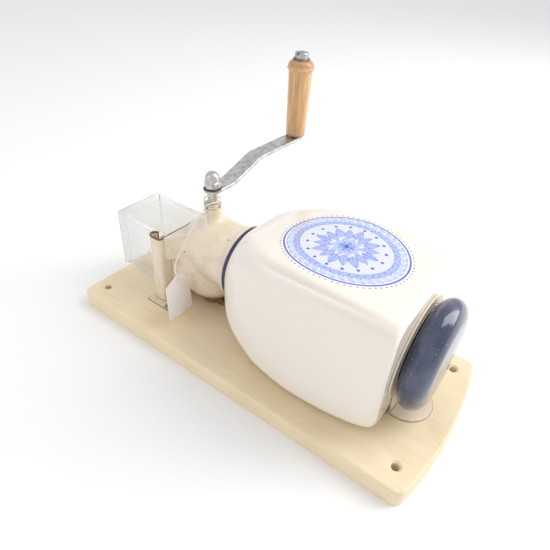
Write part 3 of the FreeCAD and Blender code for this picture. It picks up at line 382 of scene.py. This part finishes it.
LOOKS = {
    "board_paint": board_look(), "body_enamel": cast_look(), "holder_paint": sheet_look(),
    "raw_iron": iron_look(), "jar_glaze": glaze_look(), "lid_gloss": lid_look(),
    "gasket_rubber": gasket_look(), "seal_rubber": seal_look(), "cup_glass": glass_look(),
    "grip_wood": wood_look(), "string_cotton": cord_look(), "tag_card": card_look(),
    "arm_nickel": metal_look("arm_nickel", (0.62, 0.62, 0.62), (0.42, 0.42, 0.42), (0.26, 0.5), 0.34,
                             (0.10, 0.09, 0.08)),
    "nut_nickel": metal_look("nut_nickel", (0.60, 0.59, 0.57), (0.40, 0.38, 0.35), (0.25, 0.45), 0.30,
                             (0.12, 0.09, 0.07)),
    "spindle_steel": metal_look("spindle_steel", (0.66, 0.63, 0.56), (0.45, 0.40, 0.34), (0.3, 0.5), 0.3,
                                (0.16, 0.09, 0.05)),
    "bolt_steel": metal_look("bolt_steel", (0.50, 0.50, 0.50), (0.33, 0.32, 0.31), (0.28, 0.5), 0.32,
                             (0.10, 0.08, 0.07)),
    "washer_steel": metal_look("washer_steel", (0.40, 0.30, 0.22), (0.24, 0.12, 0.06), (0.45, 0.75), 0.5,
                               (0.16, 0.07, 0.03)),
    "screw_steel": metal_look("screw_steel", (0.42, 0.40, 0.37), (0.28, 0.24, 0.20), (0.35, 0.6), 0.34,
                              (0.14, 0.08, 0.05)),
    "burr_steel": metal_look("burr_steel", (0.36, 0.35, 0.34), (0.22, 0.20, 0.18), (0.35, 0.6), 0.3,
                             (0.10, 0.06, 0.04)),
    "spring_steel": metal_look("spring_steel", (0.40, 0.40, 0.42), (0.26, 0.26, 0.28), (0.3, 0.5), 0.28,
                               (0.08, 0.07, 0.06)),
    "bush_brass": metal_look("bush_brass", (0.70, 0.50, 0.20), (0.45, 0.30, 0.12), (0.25, 0.5), 0.28,
                             (0.18, 0.11, 0.04)),
}
SLOTS = {row["node"]: row["material_slot"] for row in frame["record"]["subparts"]}

# ---------------------------------------------------------------- mesh helpers


def settle(obj, body, slot, replaces=(), sharp=32.0):
    """Smooth a piece, give it its material and let it ride on a CAD body."""
    if obj.type == "MESH":
        obj.data.shade_smooth()
        obj.data.set_sharp_from_angle(angle=math.radians(sharp))
    obj.data.materials.clear()
    obj.data.materials.append(LOOKS[slot].material)
    scene.collection.objects.link(obj)
    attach(obj, body)
    if replaces:
        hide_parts(*replaces)
    return obj


def piece(name, points, faces, body, slot, replaces=(), sharp=32.0):
    """Mesh piece from points in millimetres."""
    mesh = bpy.data.meshes.new(name)
    mesh.from_pydata((np.asarray(points, float) * MM).tolist(), [], faces)
    weld(mesh)
    return settle(bpy.data.objects.new(name, mesh), body, slot, replaces, sharp)


def weld(mesh):
    """Join points that fall together, as at a turned piece's axis, and turn every face outwards."""
    work = bmesh.new()
    work.from_mesh(mesh)
    bmesh.ops.remove_doubles(work, verts=work.verts, dist=1e-6)
    bmesh.ops.recalc_face_normals(work, faces=work.faces)
    work.to_mesh(mesh)
    work.free()


def grid_faces(rows, columns, wrap_rows=False, wrap_columns=True):
    """Quads over rows of points, each row holding columns of them."""
    faces = []
    for row in range(rows if wrap_rows else rows - 1):
        above = (row + 1) % rows
        for column in range(columns if wrap_columns else columns - 1):
            beside = (column + 1) % columns
            faces.append((row * columns + column, row * columns + beside,
                          above * columns + beside, above * columns + column))
    return faces


def outline(corners, step=0.7):
    """Polyline of (radius, height) corners; a third number curves the edge that leaves a corner.

    It is the arc's radius, and is positive where the arc turns left.
    """
    points = []
    for corner, following in zip(corners, corners[1:]):
        start, end = Vector(corner[:2]), Vector(following[:2])
        points.append(start)
        if len(corner) < 3:
            continue
        chord, radius = end - start, corner[2]
        rise = math.sqrt(max(radius ** 2 - chord.length ** 2 / 4, 0))
        centre = (start + end) / 2 + Vector((-chord.y, chord.x)).normalized() * math.copysign(rise, radius)
        first = start - centre
        sweep = math.copysign(2 * math.asin(min(chord.length / 2 / abs(radius), 1)), radius)
        count = max(2, round(abs(sweep * radius) / step))
        for share in range(1, count):
            angle = sweep * share / count
            points.append(centre + Matrix.Rotation(angle, 2) @ first)
    points.append(Vector(corners[-1][:2]))
    return [tuple(point) for point in points]


def turned(profile, centre, axis, segments=96):
    """Points and faces of a closed (radius, height) outline turned about an axis through centre."""
    angles = np.linspace(0, 2 * math.pi, segments, endpoint=False)
    rows = []
    for radius, height in profile:
        ring = np.zeros((segments, 3))
        ring[:, X] = radius * np.cos(angles)
        ring[:, Z if axis == Y else Y] = radius * np.sin(angles)
        ring[:, axis] = height
        rows.append(ring + np.array(centre, float) * (np.arange(3) != axis))
    return np.concatenate(rows), grid_faces(len(profile), segments, wrap_rows=True)


def from_cad(name, node, body, bevel, angle=28.0):
    """New piece of a CAD node's shape whose hard edges are rounded off."""
    mesh = frame["nodes"][node].data.copy()
    work = bmesh.new()
    work.from_mesh(mesh)
    bmesh.ops.remove_doubles(work, verts=work.verts, dist=2e-6)
    bmesh.ops.dissolve_limit(work, angle_limit=math.radians(1.0), verts=work.verts, edges=work.edges)
    work.to_mesh(mesh)
    work.free()
    obj = settle(bpy.data.objects.new(name, mesh), body, SLOTS[node], (node,))
    round_off = obj.modifiers.new("round_off", "BEVEL")
    round_off.width = bevel * MM
    round_off.segments = 3
    round_off.limit_method = "ANGLE"
    round_off.angle_limit = math.radians(angle)
    return obj


def tube(name, line, radius, body, slot, sides=8):
    """Mesh tube along a line of points in millimetres; radius is one number or one per point."""
    line = np.asarray(line, float)
    radii = np.broadcast_to(radius, len(line))
    ahead_of = np.gradient(line, axis=0)
    ahead_of /= np.linalg.norm(ahead_of, axis=1)[:, None]
    side = np.cross(ahead_of[0], (0.3, 0.2, 0.9))
    rows = []
    for point, forward, size in zip(line, ahead_of, radii):
        side = side - forward * side.dot(forward)
        side /= np.linalg.norm(side)
        other = np.cross(forward, side)
        angles = np.linspace(0, 2 * math.pi, sides, endpoint=False)[:, None]
        rows.append(point + size * (np.cos(angles) * side + np.sin(angles) * other))
    faces = grid_faces(len(line), sides)
    last = (len(line) - 1) * sides
    faces += [tuple(range(sides))[::-1], tuple(range(last, last + sides))]
    return piece(name, np.concatenate(rows), faces, body, slot)


# ---------------------------------------------------------------- tag string

# From the frayed end, round the spindle above the adjusting bush, and down to the tag's eye.
STRING_ROUTE = [
    (14.4, -64.2, 104.8), (10.8, -67.6, 110.2), (9.5, -69.2, 116.4), (9.6, -70.2, 121.8),
    (7.6, -72.8, 126.0), (2.8, -76.2, 127.2), (-3.4, -75.8, 127.0), (-7.2, -71.4, 127.2),
    (-6.4, -65.2, 126.8), (-1.2, -61.6, 127.0), (5.0, -62.6, 127.4), (9.6, -66.2, 126.6),
    (11.6, -69.6, 120.8), (15.6, -72.4, 112.6), (22.5, -74.9, 103.1), (31.0, -76.2, 91.4),
    (38.6, -77.4, 80.2), (43.4, -76.6, 74.4), (46.4, -73.8, 70.6), (46.6, -70.6, 65.8),
    (44.8, -70.2, 62.2), (45.2, -72.2, 59.0),
]
STRING_R = 0.5
TAG_EYE = Vector((45.05, -71.6, 59.2))
TAG_UP = Vector((-0.051, -0.100, 0.994)).normalized()
TAG_ACROSS = Vector((0.984, 0.159, 0.064)).normalized()
TAG_OUT = TAG_ACROSS.cross(TAG_UP)
FRAY_STRANDS, FRAY_POINTS, FRAY_LENGTH = 7, 7, 11


def route_curve(name, route, radius):
    """Smooth NURBS curve with the route's points, in millimetres, as its control points."""
    curve = bpy.data.curves.new(name, "CURVE")
    curve.dimensions = "3D"
    spline = curve.splines.new("NURBS")
    spline.points.add(len(route) - 1)
    for point, place in zip(spline.points, route):
        point.co = (*(Vector(place) * MM), 1)
    spline.order_u = 3
    spline.use_endpoint_u = True
    spline.resolution_u = 8
    curve.bevel_depth = radius * MM
    curve.bevel_resolution = 3
    curve.use_fill_caps = True
    return curve


def curve_points(route):
    """Points along a route's smooth curve, in millimetres."""
    curve = route_curve("bare", route, 0)
    bare = bpy.data.objects.new("bare", curve)
    mesh = bpy.data.meshes.new_from_object(bare)
    points = np.array([vertex.co for vertex in mesh.vertices]) / MM
    bpy.data.objects.remove(bare)
    bpy.data.meshes.remove(mesh)
    bpy.data.curves.remove(curve)
    return points


def make_string():
    """The string, the strands of its frayed end, and its loop through the tag's eye."""
    string = bpy.data.objects.new("hang_string", route_curve("hang_string", STRING_ROUTE, STRING_R))
    settle(string, "root", "string_cotton", ("tag_string",))
    line = curve_points(STRING_ROUTE)
    start = line[0]
    walked = np.concatenate([[0], np.cumsum(np.linalg.norm(np.diff(line, axis=0), axis=1))])
    outward = np.array([start[X], start[Y] - SPINDLE_Y, 0.0])
    outward /= np.linalg.norm(outward)
    for number in range(FRAY_STRANDS):
        lean = rng.normal(0, 1.1, 3) + outward * 1.1
        tips = []
        for share in np.linspace(0, 1, FRAY_POINTS):
            back = FRAY_LENGTH * (1 - share)
            beside = np.array([np.interp(back, walked, line[:, axis]) for axis in range(3)])
            tips.append(beside + lean * (0.25 + share ** 1.4))
        thinning = np.linspace(0.30, 0.18, FRAY_POINTS)
        tube(f"string_fray_{number}", tips, thinning, "root", "string_cotton", sides=5)
    loop = [TAG_EYE + TAG_UP * up + TAG_OUT * out + TAG_ACROSS * across for up, out, across in (
        (6.5, 0.9, -0.9), (3.6, 1.2, -1.3), (1.2, 0.9, -0.9), (0.0, 0.0, -0.4), (0.2, -1.0, 0.0),
        (2.4, -1.4, 0.1), (5.2, -0.5, -0.2), (7.6, 0.3, -0.6))]
    second = tube("string_loop", curve_points(loop), STRING_R * 0.85, "root", "string_cotton")
    make_tag()


def make_tag():
    """Card with clipped corners that curls a little towards the room."""
    wide, long, peak, peak_wide, thick = 31.4, 35.0, 6.5, 6.0, 0.5
    across_steps, up_steps = 26, 30
    curl_across, curl_up, curl_middle = 0.0022, 0.0012, -12
    rows = []
    for face in (0, 1):
        for v in np.linspace(0, 1, up_steps + 1):
            for u in np.linspace(-1, 1, across_steps + 1):
                height = -long + v * (long + peak)
                limit = wide / 2
                if height > 0:
                    limit = peak_wide / 2 + (wide / 2 - peak_wide / 2) * (1 - height / peak)
                x = u * limit
                curl = curl_across * (x + wide / 2) ** 2 - curl_up * (height - curl_middle) ** 2
                rows.append(TAG_EYE + TAG_ACROSS * x + TAG_UP * height
                            + TAG_OUT * (curl + face * thick))
    count = (across_steps + 1) * (up_steps + 1)
    faces = []
    for quad in grid_faces(up_steps + 1, across_steps + 1, wrap_columns=False):
        faces.append(quad[::-1])
        faces.append(tuple(corner + count for corner in quad))
    columns = across_steps + 1
    rim = [*range(columns), *range(2 * columns - 1, count, columns),
           *range(count - 2, count - columns - 1, -1), *range(count - 2 * columns, 0, -columns)]
    for here, following in zip(rim, rim[1:] + rim[:1]):
        faces.append((here, following, following + count, here + count))
    return piece("price_tag_blank", rows, faces, "root", "tag_card", ("swing_tag",), sharp=60)


make_string()

# ---------------------------------------------------------------- jar and its blue decoration

JAR_FOOT, JAR_END = -24.0, 136.3
JAR_HALF, JAR_HALF_DEEP, JAR_WALL = 61.0, 59.2, 5.0
JAR_STATIONS = np.array([
    # height above the jar's foot, half-width and corner radius as shares of the widest half-width
    (0.0, 0.574, 0.56), (5.0, 0.690, 0.57), (12.0, 0.790, 0.52), (25.0, 0.875, 0.42),
    (55.0, 0.967, 0.26), (89.0, 0.998, 0.21), (118.0, 0.984, 0.20), (143.0, 0.946, 0.20),
    (155.0, 0.905, 0.20), (158.6, 0.875, 0.20), (160.3, 0.830, 0.20),
])
# The front panel that carries the drawing: its reach up and across, and its least distance from the axis
DRAWN_LOW, DRAWN_HIGH, DRAWN_SIDE, DRAWN_OUT = 12.0, 131.0, 52.0, 51.35
# The cove beside the panel: its depth, its place round the corner and its width, as shares of the turn
COVE_DEPTH, COVE_MIDDLE, COVE_WIDTH = 2.3, 0.42, 0.12


def smooth_between(heights, column):
    """A station value at any heights, along a curve through the stations that doesn't overshoot."""
    at, value = JAR_STATIONS[:, 0], JAR_STATIONS[:, column]
    steps = np.diff(value) / np.diff(at)
    before, after = steps[:-1], steps[1:]
    total = np.where(before + after == 0, 1, before + after)
    inner = np.where(before * after > 0, 2 * before * after / total, 0)
    slope = np.concatenate([[steps[0]], inner, [steps[-1]]])
    i = np.clip(np.searchsorted(at, heights, side="right") - 1, 0, len(at) - 2)
    gap = at[i + 1] - at[i]
    t = (heights - at[i]) / gap
    return ((1 + 2 * t) * (1 - t) ** 2 * value[i] + t * (1 - t) ** 2 * gap * slope[i]
            + t * t * (3 - 2 * t) * value[i + 1] + t * t * (t - 1) * gap * slope[i + 1])


def jar_columns():
    """Where the points of a section lie: (side, share of its straight or of its corner) for each."""
    columns = []
    for side in range(4):
        straight = 150 if side == 0 else 22
        for share in np.linspace(-1, 1, straight, endpoint=False):
            columns.append((side, share, 0.0))
        for share in np.linspace(0, 1, 34 if side in (0, 3) else 10, endpoint=False):
            columns.append((side, 1.0, share))
    return np.array(columns)


COLUMNS = jar_columns()


def jar_section(height, inset=0.0):
    """Square outline with round corners, starting along the front; front corners carry a cove."""
    half = smooth_between(np.array([height]), 1)[0] * JAR_HALF - inset
    corner = smooth_between(np.array([height]), 2)[0] * JAR_HALF - inset
    deep = half * (1 - (1 - corner / half) * (1 - JAR_HALF_DEEP / JAR_HALF))
    cove_depth = 0.0 if inset else COVE_DEPTH * cove_share(height + JAR_FOOT)
    points = []
    for side, share, bend in COLUMNS:
        # the front runs from -X to +X at +Z, then the +X side runs down to the back, and so on
        along_half, out_half = (half, deep) if side % 2 == 0 else (deep, half)
        swing = bend * math.pi / 2
        front_corner = (side == 0 and bend > 0) or (side == 3 and bend > 0)
        turn_share = bend if side == 0 else 1 - bend
        radius = corner
        if front_corner:
            radius -= cove_depth * math.exp(-((turn_share - COVE_MIDDLE) / COVE_WIDTH) ** 2)
        along = share * (along_half - corner) + radius * math.sin(swing) * (bend > 0)
        out = out_half - corner + radius * math.cos(swing)
        # a quarter turn for each side, clockwise seen from the lid
        for _ in range(int(side)):
            along, out = out, -along
        points.append((along, out))
    return np.array(points)


def cove_share(y):
    """How deep the cove beside the front panel is at a height up the wall."""
    lowest, rise_long, highest, fall_long = 8, 34, 134, 84
    rise = np.clip((y - lowest) / rise_long, 0, 1)
    fall = np.clip((highest - y) / fall_long, 0, 1)
    return (rise * rise * (3 - 2 * rise)) * (fall * fall * (3 - 2 * fall)) ** 0.8


def ellipse_distance(x, y, middle_y, half_wide, half_tall):
    """Nearly the distance from an ellipse, negative inside."""
    u, v = x, y - middle_y
    inner = np.hypot(u / half_wide, v / half_tall)
    slope = np.hypot(u / half_wide ** 2, v / half_tall ** 2)
    return inner * (inner - 1) / np.maximum(slope, 1e-6)


class Print:
    """Blue ink on the jar's front, from 0 for bare glaze to 1 for the darkest blue."""

    def __init__(self, x, y):
        self.x, self.y = x, y
        self.ink = np.zeros(x.shape)

    def lay(self, strength, cover):
        self.ink = np.maximum(self.ink, strength * np.clip(cover, 0, 1))

    def clear(self, cover):
        self.ink *= 1 - np.clip(cover, 0, 1)

    def leaf(self, foot, angle, long, wide, strength):
        """Pointed leaf with a dark outline and vein, paler inside."""
        u, v = self.x - foot[0], self.y - foot[1]
        ahead = u * math.cos(angle) + v * math.sin(angle)
        aside = np.abs(v * math.cos(angle) - u * math.sin(angle))
        share = np.clip(ahead / long, 0, 1)
        edge = wide / 2 * np.sin(math.pi * share ** 0.8) - aside
        within = (ahead > 0) & (ahead < long)
        self.clear(within * edge / 0.3)
        self.lay(1.0, within * np.clip(edge / 0.3, 0, 1) * strength * 0.5)
        self.lay(strength, within * (1 - np.abs(edge) / 0.5))
        self.lay(strength * 0.8, within * (edge > 0) * (1 - aside / 0.4))

    def dot(self, centre, radius, strength):
        self.lay(strength, (radius - np.hypot(self.x - centre[0], self.y - centre[1])) / 0.3 + 0.5)


def paint_front(x, y):
    """Plain oval medallion: a double line, a wreath of leaves and a formal rosette, all regular."""
    art = Print(x, y)
    middle_y, wide, tall = 66.0, 43.0, 49.0
    edge = ellipse_distance(x, y, middle_y, wide, tall)
    art.lay(0.16, (-edge - 3.4) / 0.5)
    for count, share, long, broad, lean, strength in (
            (40, 0.84, 9.5, 4.2, 0.55, 0.85), (40, 0.84, 8.0, 3.4, -0.75, 0.6)):
        for angle in np.arange(count) * 2 * math.pi / count:
            foot = (share * wide * math.cos(angle), middle_y + share * tall * math.sin(angle))
            along = math.atan2(tall * math.cos(angle), -wide * math.sin(angle))
            art.leaf(foot, along + lean, long, broad, strength)
    for angle in np.arange(16) * math.pi / 8:
        near = 11 if round(angle * 8 / math.pi) % 2 else 13
        reach = (math.cos(angle), math.sin(angle))
        art.leaf((near * reach[0], middle_y + near * reach[1]), angle, 14, 6.5, 0.9)
        art.dot((29 * reach[0], middle_y + 30 * reach[1]), 1.3, 0.95)
    for count, radius, broad, strength in ((10, 3.0, 8.0, 0.75), (8, 0.6, 5.0, 0.95)):
        for angle in np.arange(count) * 2 * math.pi / count:
            foot = (radius * math.cos(angle), middle_y + radius * math.sin(angle))
            art.leaf(foot, angle, 9.5 if count == 10 else 6.0, broad * 0.6, strength)
    art.dot((0, middle_y), 1.8, 1.0)
    art.lay(0.95, (0.85 - np.abs(edge)) / 0.35)
    art.lay(0.6, (0.3 - np.abs(edge + 2.6)) / 0.3 + 0.5)
    for angle in np.arange(72) * math.pi / 36:
        art.dot(((wide + 2.7) * math.cos(angle), middle_y + (tall + 2.7) * math.sin(angle)), 0.7, 0.8)
    return np.clip(art.ink, 0, 1)


def ring_points(section, y):
    return np.column_stack([section[:, 0], np.full(len(section), y), section[:, 1] + JAR_Z])


def make_jar():
    """The jar: foot ring, wall, rim and hollow in one closed skin, with the ink as a point attribute."""
    angles = np.arctan2(*jar_section(60.0).T)
    circle = np.column_stack([np.sin(angles), np.cos(angles)])
    tall = JAR_END - JAR_FOOT
    rows = [ring_points(circle * radius, y) for radius, y in (
        (23.0, -36.6), (23.4, -37.0), (27.6, -37.0), (28.0, -36.6), (28.0, -24.6), (28.4, JAR_FOOT))]
    heights = np.concatenate([
        np.linspace(0, 1.5, 4), np.linspace(2.5, DRAWN_LOW - JAR_FOOT, 24, endpoint=False),
        np.arange(DRAWN_LOW, DRAWN_HIGH, 0.58) - JAR_FOOT,
        np.linspace(DRAWN_HIGH - JAR_FOOT, tall - 0.1, 16)])
    rows += [ring_points(jar_section(height), JAR_FOOT + height) for height in heights]
    last = jar_section(tall - 0.1)
    rows.append(ring_points(last * 0.97, JAR_END))
    rows += [ring_points(circle * radius, y) for radius, y in (
        (37.5, JAR_END), (36.3, JAR_END + 0.3), (36.0, JAR_END + 0.9), (36.0, JAR_END + 1.6),
        (35.6, JAR_END + 2.0), (32.0, JAR_END + 2.0), (31.5, JAR_END + 1.6), (31.5, JAR_END - 3))]
    for height in np.linspace(tall - 3, 4, 22):
        rows.append(ring_points(jar_section(height, JAR_WALL), JAR_FOOT + height))
    rows += [ring_points(circle * radius, y) for radius, y in ((25, -20.0), (23, -21.5))]
    points = np.concatenate(rows)
    faces = grid_faces(len(rows), len(COLUMNS), wrap_rows=True)
    jar = piece("jar_body", points, faces, "root", "jar_glaze", ("jar",), sharp=50)
    place = np.array([vertex.co for vertex in jar.data.vertices]) / MM
    front = (place[:, Z] > JAR_Z + DRAWN_OUT) & (np.abs(place[:, X]) < DRAWN_SIDE)
    ink = np.zeros(len(place))
    ink[front] = paint_front(place[front, X], place[front, Y])
    jar.data.attributes.new("ink", "FLOAT", "POINT").data.foreach_set("value", ink.astype(np.float32))


# ---------------------------------------------------------------- the rest of the object

# The casting's hollow round the spindle, as (height, radius)
BODY_HOLLOW = ((29, 18), (34, 18), (37, 23.5), (52, 23.5), (55, 18), (78, 18), (92, 16.5),
               (95, 13.5), (121, 6.1))
# The stretch of casting whose creases may be filled, in Y and in Z, and how softly its ends fade in
FILL_Y, FILL_Z, FILL_FADE = (-95.5, -31), (31, 116), 4
FILL_PASSES = 45
KEPT_WALL = 1.5
JAR_SEAT_R, JAR_SEAT_Y = 30.0, -53
# The chute under the body: where it starts, its half-width there and how it widens, and its mouth
CHUTE_Y, CHUTE_HALF, CHUTE_WIDENS, CHUTE_LONG = -77, 10, 17.5, 20.3
CHUTE_Z, CHUTE_HALF_TALL = 82, 14


def make_body():
    """The casting with its creases filled, as a foundry pattern has them; hollows and fits are kept."""
    source = frame["nodes"]["mill_body"]
    body = bpy.data.objects.new("mill_casting", source.data.copy())
    scene.collection.objects.link(body)
    body.matrix_world = source.matrix_world.copy()
    body.data.transform(body.matrix_world)
    body.matrix_world = Matrix.Identity(4)
    remesh = body.modifiers.new("skin", "REMESH")
    remesh.mode = "VOXEL"
    remesh.voxel_size = 1.0 * MM
    skinned = body.evaluated_get(bpy.context.evaluated_depsgraph_get())
    shape = bpy.data.meshes.new_from_object(skinned)
    body.modifiers.clear()
    scene.collection.objects.unlink(body)
    body.data = shape
    count = len(shape.vertices)
    flat = np.empty(count * 3)
    shape.vertices.foreach_get("co", flat)
    start = flat.reshape(-1, 3) / MM
    shape.vertices.foreach_get("normal", flat)
    normal = flat.reshape(-1, 3).copy()
    ends = np.empty(len(shape.edges) * 2, int)
    shape.edges.foreach_get("vertices", ends)
    ends = ends.reshape(-1, 2)
    shared = np.maximum(np.bincount(ends.ravel(), minlength=count), 1)[:, None]
    x, y, z = start.T
    hollow = np.interp(z, *np.array(BODY_HOLLOW).T)
    from_spindle, from_jar = np.hypot(x, y - SPINDLE_Y), np.hypot(x, z - JAR_Z)
    free = np.ones(count)
    for along, (low, high) in ((y, FILL_Y), (z, FILL_Z)):
        free *= np.clip((high - along) / FILL_FADE, 0, 1) * np.clip((along - low) / FILL_FADE, 0, 1)
    chute_half = CHUTE_HALF + CHUTE_WIDENS * (CHUTE_Y - y) / CHUTE_LONG + KEPT_WALL
    free[from_spindle < hollow + KEPT_WALL] = 0
    free[(from_jar < JAR_SEAT_R) & (y > JAR_SEAT_Y)] = 0
    free[(np.abs(x) < chute_half) & (np.abs(z - CHUTE_Z) < CHUTE_HALF_TALL) & (y < CHUTE_Y + 1)] = 0
    place = start.copy()
    for _ in range(FILL_PASSES):
        total = np.zeros_like(place)
        np.add.at(total, ends[:, 0], place[ends[:, 1]])
        np.add.at(total, ends[:, 1], place[ends[:, 0]])
        place += 0.5 * free[:, None] * (total / shared - place)
    outward = np.maximum(((place - start) * normal).sum(axis=1), 0)
    place = start + normal * outward[:, None]
    shape.vertices.foreach_set("co", (place * MM).ravel())
    shape.update()
    settle(body, "root", "body_enamel", ("mill_body",), sharp=42)


def make_lid():
    """Hollow knob lid: its plug and seal groove, a rounded rim, a nearly flat top and the hollow under it."""
    low, rim, above_rim = 138.9, 150.2, 11.8
    flat_r, reach = 30.6, 15.55
    profile = [(25, 128.4), (28.5, 128.4), (29.5, 129.4), (29.5, 130.4), (28.3, 130.4), (28.3, 134.4),
               (29.5, 134.4), (29.5, low)]
    for angle in np.linspace(-90, 90, 40):
        swing = math.radians(angle)
        deep = rim - low if angle < 0 else above_rim
        profile.append((flat_r + reach * math.cos(swing), rim + deep * math.sin(swing)))
    profile += [(22, 162.35), (11, 162.8), (0, 162.95)]
    inside = [(0, 158), (20, 157.2), (25, 153.5)]
    points, faces = turned(profile + inside, (0, 0, JAR_Z), Y, 128)
    piece("lid_knob", points, faces, "lid", "lid_gloss", ("lid",), sharp=40)


def make_gasket():
    low, high = bottom("jar_gasket", Y), top("jar_gasket", Y)
    inner, reach, corner = 28.4, 35.5, 1.6
    profile = outline([(inner, low), (reach - 1.4, low, corner), (reach, low + corner),
                       (reach, high - corner, corner), (reach - 1.4, high), (inner, high)], 0.4)
    points, faces = turned(profile, (0, 0, JAR_Z), Y, 112)
    piece("gasket_ring", points, faces, "root", "gasket_rubber", ("jar_gasket",), sharp=40)


def make_grip():
    profile = outline([
        (4.3, 152), (8.95, 152, 0.9), (9.75, 152.8), (11.1, 205), (11.35, 213.0, -1.6), (11.7, 214.4),
        (12.4, 215.2, 2.0), (12.4, 218.0, 6.5), (9, 223.4), (8.6, 223.6), (4.3, 223.6)], 0.5)
    points, faces = turned(profile, HANDLE, Z)
    piece("grip", points, faces, "grip", "grip_wood", ("handle_grip",), sharp=38)


make_jar()
make_body()
from_cad("board", "wall_board", "root", 0.5)
make_lid()
make_gasket()
make_grip()
from_cad("arm", "crank_arm", "crank", 0.5)
from_cad("cap_nut", "crank_nut", "crank", 0.35)
from_cad("bolt_head", "handle_bolt", "crank", 0.25)
from_cad("cup", "glass_cup", "cup", 0.5, angle=40)
from_cad("holder", "cup_holder", "root", 0.12)
from_cad("bracket", "jar_bracket", "root", 0.12)

for label, node in frame["nodes"].items():
    for slot in node.material_slots:
        slot.material = LOOKS[SLOTS[label]].material

# ---------------------------------------------------------------- floor and light

FLOOR_HALF = 6


def make_floor():
    mesh = bpy.data.meshes.new("floor")
    corners = [(-FLOOR_HALF, -FLOOR_HALF, 0), (FLOOR_HALF, -FLOOR_HALF, 0),
               (FLOOR_HALF, FLOOR_HALF, 0), (-FLOOR_HALF, FLOOR_HALF, 0)]
    mesh.from_pydata(corners, [], [(0, 1, 2, 3)])
    mesh.materials.append(Look("floor", (0.9, 0.9, 0.9), 0.8).material)
    floor = bpy.data.objects.new("floor", mesh)
    scene.collection.objects.link(floor)


def make_studio():
    """Pale even surroundings, with the colours shown as they are."""
    scene.view_settings.view_transform = "Standard"
    scene.world = bpy.data.worlds.new("studio")
    scene.world.use_nodes = True
    background = scene.world.node_tree.nodes["Background"]
    background.inputs["Color"].default_value = (0.97, 0.98, 1.0, 1)
    background.inputs["Strength"].default_value = 0.83


def softbox(name, place, aim, width, length, power, colour):
    """Soft light at place that faces aim; sizes in metres and power in watts."""
    light = bpy.data.lights.new(name, "AREA")
    light.shape = "RECTANGLE"
    light.size = width
    light.size_y = length
    light.energy = power
    light.color = colour
    lamp = bpy.data.objects.new(name, light)
    scene.collection.objects.link(lamp)
    lamp.location = place
    lamp.rotation_euler = (Vector(aim) - Vector(place)).to_track_quat("-Z", "Y").to_euler()


make_floor()
make_studio()
softbox("key", (-0.9, 0.9, 1.1), (0, 0, 0.05), 0.8, 2.0, 22, (1.0, 0.98, 0.95))
softbox("fill", (0.7, -0.5, 0.45), (0, -0.05, 0.05), 0.8, 0.8, 0.8, (1.0, 0.98, 0.96))
